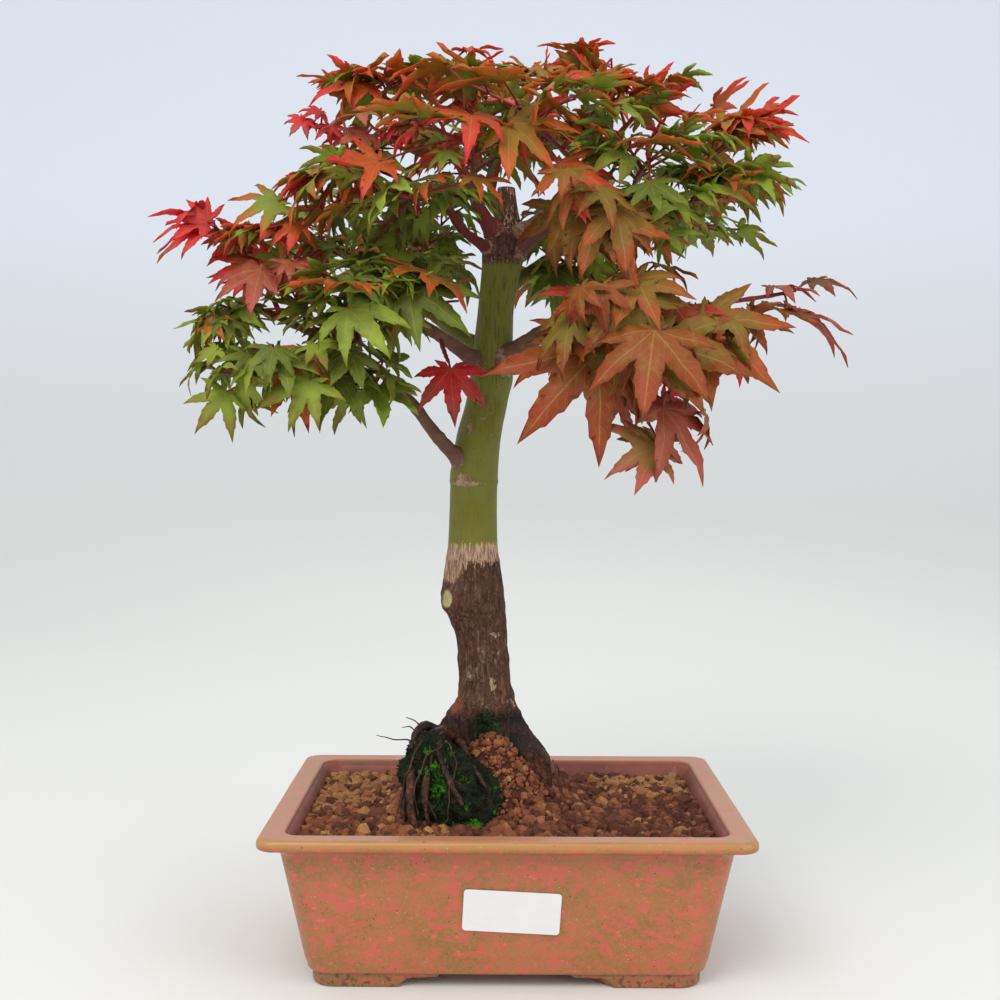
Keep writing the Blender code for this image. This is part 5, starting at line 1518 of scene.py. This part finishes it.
def spray_leaves(name, main, shoots, rng):
    """Foot, joint, heading, face and length of each leaf of a spray. Leaves that would hang
    before the trunk are left out, and the listed ones are added."""
    pairs, size, droop = SPRAYS[name][3:6]
    size = size * MM * BLADE_SHARE[SPRAYS[name][6]]
    places = leaves_on(main, pairs)
    sizes = rng.uniform(0.82, 1.08, len(places))
    extra = len(LONG_SHOOTS.get(name, ()))
    for number, shoot in enumerate(shoots):
        more = leaves_on(shoot, 2 if number >= len(shoots) - extra else 1)
        places += more
        sizes = np.concatenate([sizes, rng.uniform(0.55, 0.80) * rng.uniform(0.8, 1.1, len(more))])
    feet, ways, ups = (np.array(column) for column in zip(*places))
    sizes = sizes * size
    ways = turned(ways, ups, rng.normal(0, math.radians(11), len(feet)))
    flat = 0.85 - 0.45 * smooth(feet[:, 2], 0.26, 0.34) * (SPRAYS[name][6] in ("green", "orange"))
    droops = np.radians(droop * flat + rng.normal(0, 12, len(feet)))
    sides = unit(np.cross(ways, ups))
    joints = feet + unit(ways + 0.35 * ups) * (PETIOLE_SHARE * sizes)[:, None]
    forward = turned(ways, sides, -droops)
    normal = turned(unit(np.cross(sides, forward)), forward,
                    rng.normal(0, math.radians(16), len(feet)))
    tones = rng.uniform(0, 1, len(feet))

    middle = joints + forward * sizes[:, None] * 0.5
    axis, _ = trunk_section(middle[:, 2])
    clear = np.abs(middle[:, 0] - axis) > TRUNK_ROOM + 0.42 * sizes
    clear |= (middle[:, 1] > TRUNK_BACK) | (middle[:, 2] > RIM_TOP + 0.94 * TRUNK_HEIGHT)
    tips = np.maximum(joints, joints + forward * sizes[:, None])[:, 2]
    dome = DOME_TOP - DOME_FALL * (middle[:, 0] / 0.1) ** 2 + DOME_SLOPE * middle[:, 1]
    excess = np.maximum(tips - dome, 0)
    joints[:, 2] -= np.minimum(excess, STALK_GIVE)
    clear &= excess <= max(2 * STALK_GIVE, np.sort(excess)[1 if len(excess) > 1 else 0])
    kept = np.flatnonzero(clear)
    made = [part[kept] for part in (feet, joints, forward, normal, sizes, tones)]
    for spray, joint, tip, tilt, tone in SET_LEAVES:
        if spray == name:
            joint, tip = np.array(joint) * MM, np.array(tip) * MM
            foot = main[np.linalg.norm(main - joint, axis=1).argmin()]
            way = unit(tip - joint)
            face = np.array((0.0, tilt - 1.0, tilt))
            face = unit(face - way * face.dot(way))
            lifted = unit(way + face * 0.22)
            leaf = (foot, joint, lifted, unit(face - lifted * face.dot(lifted)),
                    np.linalg.norm(tip - joint), tone)
            made = [np.concatenate([part, [value]]) for part, value in zip(made, leaf)]
    return made


def make_sprays(tree):
    """Each spray is one piece: a twig with side shoots, a stalk to every leaf and the blades."""
    finishes = {colour: leaf_finish(tree, colour)
                for colour in ("green", "orange", "copper", "red", "pink")}
    groups = leaf_faces()
    for number, name in enumerate(SPRAYS):
        rng = np.random.default_rng(100 + number)
        main = twig_path(name, 30)
        shoots = side_shoots(main, SHOOTS[SPRAYS[name][6]], rng) if SPRAYS[name][3] else []
        shoots += long_shoots(main, LONG_SHOOTS.get(name, ()))
        feet, joints, forward, normal, sizes, tones = spray_leaves(name, main, shoots, rng)
        sizes = sizes * tree.leaf_size
        blades, edge, along = lay_blades(joints, forward, normal, sizes, rng)
        stalks = lay_stalks(feet, joints, forward, normal)
        add_spray(name, finishes[SPRAYS[name][6]], groups, blades, stalks,
                  lay_twigs(main, shoots), edge, along, tones, tree)


def lay_stalks(feet, joints, forward, normal):
    """Stalks are cubic curves that leave the twig and meet the blade along its heading."""
    t = np.linspace(0, 1, 9)[:, None]
    chord = joints - feet
    reach = np.linalg.norm(chord, axis=1)[:, None]
    start, end = feet, joints + forward * 0.4 * MM
    first = start + chord * 0.4 + normal * reach * 0.10
    second = end - unit(chord / reach + forward * 0.7) * reach * 0.35
    path = (start[:, None] * (1 - t) ** 3 + first[:, None] * 3 * t * (1 - t) ** 2
            + second[:, None] * 3 * t ** 2 * (1 - t) + end[:, None] * t ** 3)
    thick = np.interp(t[:, 0], (0, 0.12, 0.85, 1), (0.70, 0.40, 0.34, 0.45)) * MM
    return sweep(path, thick * np.ones((len(feet), 1)), 6)


def lay_twigs(main, shoots):
    """The spray's twig with swollen nodes, then its side shoots; arrays of rings of points."""
    place = np.arange(len(main))
    taper = np.linspace(1.1, 0.6, len(main)) * MM
    nodes = np.abs(place[:, None] - (len(main) - 1) * np.array(SHOOTS["green"]))
    taper = taper + 0.25 * MM * np.exp(-nodes ** 2).sum(1)
    taper[-1] = 0.05 * MM
    rings = [sweep(main, taper, 8)]
    if shoots:
        taper = np.linspace(0.62, 0.38, len(shoots[0])) * MM
        rings.append(sweep(np.array(shoots), taper * np.ones((len(shoots), 1)), 6))
    return rings


def add_spray(name, finish, groups, blades, stalks, twigs, edge, along, tones, tree):
    """Join a spray's blades and tubes and give the blades their thickness."""
    count, each = blades.shape[:2]
    parts = [blades.reshape(-1, 3)]
    faces = [repeat_faces(group, count, each) for group in groups]
    for tubes in (stalks, *twigs):
        rings, sides = tubes.shape[-3:-1]
        copies = tubes.size // (rings * sides * 3)
        first = sum(len(part) for part in parts)
        faces.append(repeat_faces(grid_faces(rings, sides), copies, rings * sides) + first)
        parts.append(tubes.reshape(-1, 3))
    rest = np.zeros(sum(len(part) for part in parts[1:]))
    piece = add_piece(name + "_leaves", np.concatenate(parts), faces, finish,
                      "leaf_" + SPRAYS[name][6], (name,),
                      wood=np.concatenate([np.zeros(count * each), rest + 1]),
                      across=np.concatenate([np.tile(edge, count), rest]),
                      along=np.concatenate([along.ravel(), rest]),
                      tone=np.concatenate([np.repeat(tones, each), rest]))
    skin = piece.modifiers.new("thickness", "SOLIDIFY")
    skin.thickness = tree.leaf_thickness
    skin.offset = 0.0


# ------------------------------------------------------------------ stage

def make_stage():
    """A pale sheet: flat under the pot, then a quarter round up to a wall."""
    turn = np.linspace(0, math.pi / 2, 40)
    bend, back, front = 2.0, 0.9, -2.5
    y = np.concatenate([np.linspace(front, back, 12)[:-1], back + bend * np.sin(turn),
                        [back + bend]])
    z = np.concatenate([np.zeros(11), bend * (1 - np.cos(turn)), [4.0]])
    x = np.linspace(-4.5, 4.5, 20)
    points = np.stack([x[None] * np.ones((len(y), 1)), y[:, None] * np.ones(20),
                       z[:, None] * np.ones(20)], -1)
    mesh = new_mesh("backdrop", points.reshape(-1, 3), [grid_faces(len(y), 20, False)], {})
    mesh.shade_smooth()
    mesh.materials.append(stage_finish())
    sheet = bpy.data.objects.new("backdrop", mesh)
    bpy.context.scene.collection.objects.link(sheet)

    world = bpy.data.worlds.new("studio")
    bpy.context.scene.world = world
    world.use_nodes = True
    sky = world.node_tree.nodes["Background"].inputs
    sky["Color"].default_value = SKY
    sky["Strength"].default_value = SKY_STRENGTH
    bpy.context.scene.view_settings.view_transform = "Standard"
    for name, place, size, power, colour in LAMPS:
        lamp = bpy.data.lights.new(name, "AREA")
        lamp.size = size
        lamp.energy = power
        lamp.color = colour
        made = bpy.data.objects.new(name, lamp)
        bpy.context.scene.collection.objects.link(made)
        made.location = place
        aim(made, LAMP_TARGET)


def aim(made, target):
    """Point a lamp's -Z at a place."""
    way = Vector(target) - made.location
    made.rotation_euler = way.to_track_quat("-Z", "Y").to_euler()


def make_camera():
    """A view from a little above the pot's rim, tipped down and rolled by a hair."""
    lens = bpy.data.cameras.new("camera")
    lens.sensor_width = 36.0
    lens.lens = LENS
    made = bpy.data.objects.new("camera", lens)
    bpy.context.scene.collection.objects.link(made)
    made.location = EYE
    made.rotation_euler = (math.radians(EYE_TILT), math.radians(EYE_ROLL), 0.0)
    bpy.context.scene.camera = made


# ------------------------------------------------------------------ add-on

class MAPLE_OT_stage(bpy.types.Operator):
    """Add the backdrop, the lamps and the camera"""
    bl_idname = "maple.stage"
    bl_label = "Stage"

    def execute(self, context):
        make_stage()
        make_camera()
        return {"FINISHED"}


class MAPLE_OT_pot(bpy.types.Operator):
    """Make the glazed pot and its feet"""
    bl_idname = "maple.pot"
    bl_label = "Pot"

    def execute(self, context):
        make_pot(context.scene.maple_pot)
        return {"FINISHED"}


class MAPLE_OT_fittings(bpy.types.Operator):
    """Finish the label, the drain screens and their wires"""
    bl_idname = "maple.fittings"
    bl_label = "Label and screens"

    def execute(self, context):
        dress("blank_label", label_finish())
        screen, wire = screen_finish(), wire_finish()
        for hand in ("left", "right"):
            dress("drain_screen_" + hand, screen)
            dress("screen_wire_" + hand, wire)
        return {"FINISHED"}


class MAPLE_OT_soil(bpy.types.Operator):
    """Fill the pot with soil grains"""
    bl_idname = "maple.soil"
    bl_label = "Soil"

    def execute(self, context):
        make_soil(context.scene.maple_pot)
        return {"FINISHED"}


class MAPLE_OT_moss(bpy.types.Operator):
    """Grow moss over the old root stump"""
    bl_idname = "maple.moss"
    bl_label = "Moss"

    def execute(self, context):
        make_moss(context.scene.maple_pot)
        return {"FINISHED"}


class MAPLE_OT_trunk(bpy.types.Operator):
    """Make the trunk with its roots, and the old roots beside it"""
    bl_idname = "maple.trunk"
    bl_label = "Trunk"

    def execute(self, context):
        tree = context.scene.maple_tree
        make_old_roots(make_trunk(tree))
        return {"FINISHED"}


class MAPLE_OT_branches(bpy.types.Operator):
    """Make the branches"""
    bl_idname = "maple.branches"
    bl_label = "Branches"

    def execute(self, context):
        make_branches(context.scene.maple_tree)
        return {"FINISHED"}


class MAPLE_OT_sprays(bpy.types.Operator):
    """Make the leaf sprays"""
    bl_idname = "maple.sprays"
    bl_label = "Leaf sprays"

    def execute(self, context):
        make_sprays(context.scene.maple_tree)
        return {"FINISHED"}


OPERATORS = (MAPLE_OT_stage, MAPLE_OT_pot, MAPLE_OT_fittings, MAPLE_OT_soil, MAPLE_OT_moss,
             MAPLE_OT_trunk, MAPLE_OT_branches, MAPLE_OT_sprays)


class MAPLE_PT_bonsai(bpy.types.Panel):
    """The settings and the pieces, in the order in which they are made"""
    bl_idname = "MAPLE_PT_bonsai"
    bl_label = "Maple bonsai"
    bl_space_type = "VIEW_3D"
    bl_region_type = "UI"
    bl_category = "Bonsai"

    def draw(self, context):
        for settings in (context.scene.maple_pot, context.scene.maple_tree):
            box = self.layout.box()
            for setting in settings.bl_rna.properties:
                if setting.identifier not in ("rna_type", "name"):
                    box.prop(settings, setting.identifier)
        for operator in OPERATORS:
            self.layout.operator(operator.bl_idname)


CLASSES = (MaplePotSettings, MapleTreeSettings, *OPERATORS, MAPLE_PT_bonsai)


def register():
    for added in CLASSES:
        bpy.utils.register_class(added)
    bpy.types.Scene.maple_pot = bpy.props.PointerProperty(type=MaplePotSettings)
    bpy.types.Scene.maple_tree = bpy.props.PointerProperty(type=MapleTreeSettings)


def unregister():
    del bpy.types.Scene.maple_tree
    del bpy.types.Scene.maple_pot
    for added in reversed(CLASSES):
        bpy.utils.unregister_class(added)


def main():
    register()
    bpy.ops.maple.stage()
    bpy.ops.maple.pot()
    bpy.ops.maple.fittings()
    bpy.ops.maple.soil()
    bpy.ops.maple.moss()
    bpy.ops.maple.trunk()
    bpy.ops.maple.branches()
    bpy.ops.maple.sprays()
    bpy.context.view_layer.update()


if __name__ == "__main__":
    main()
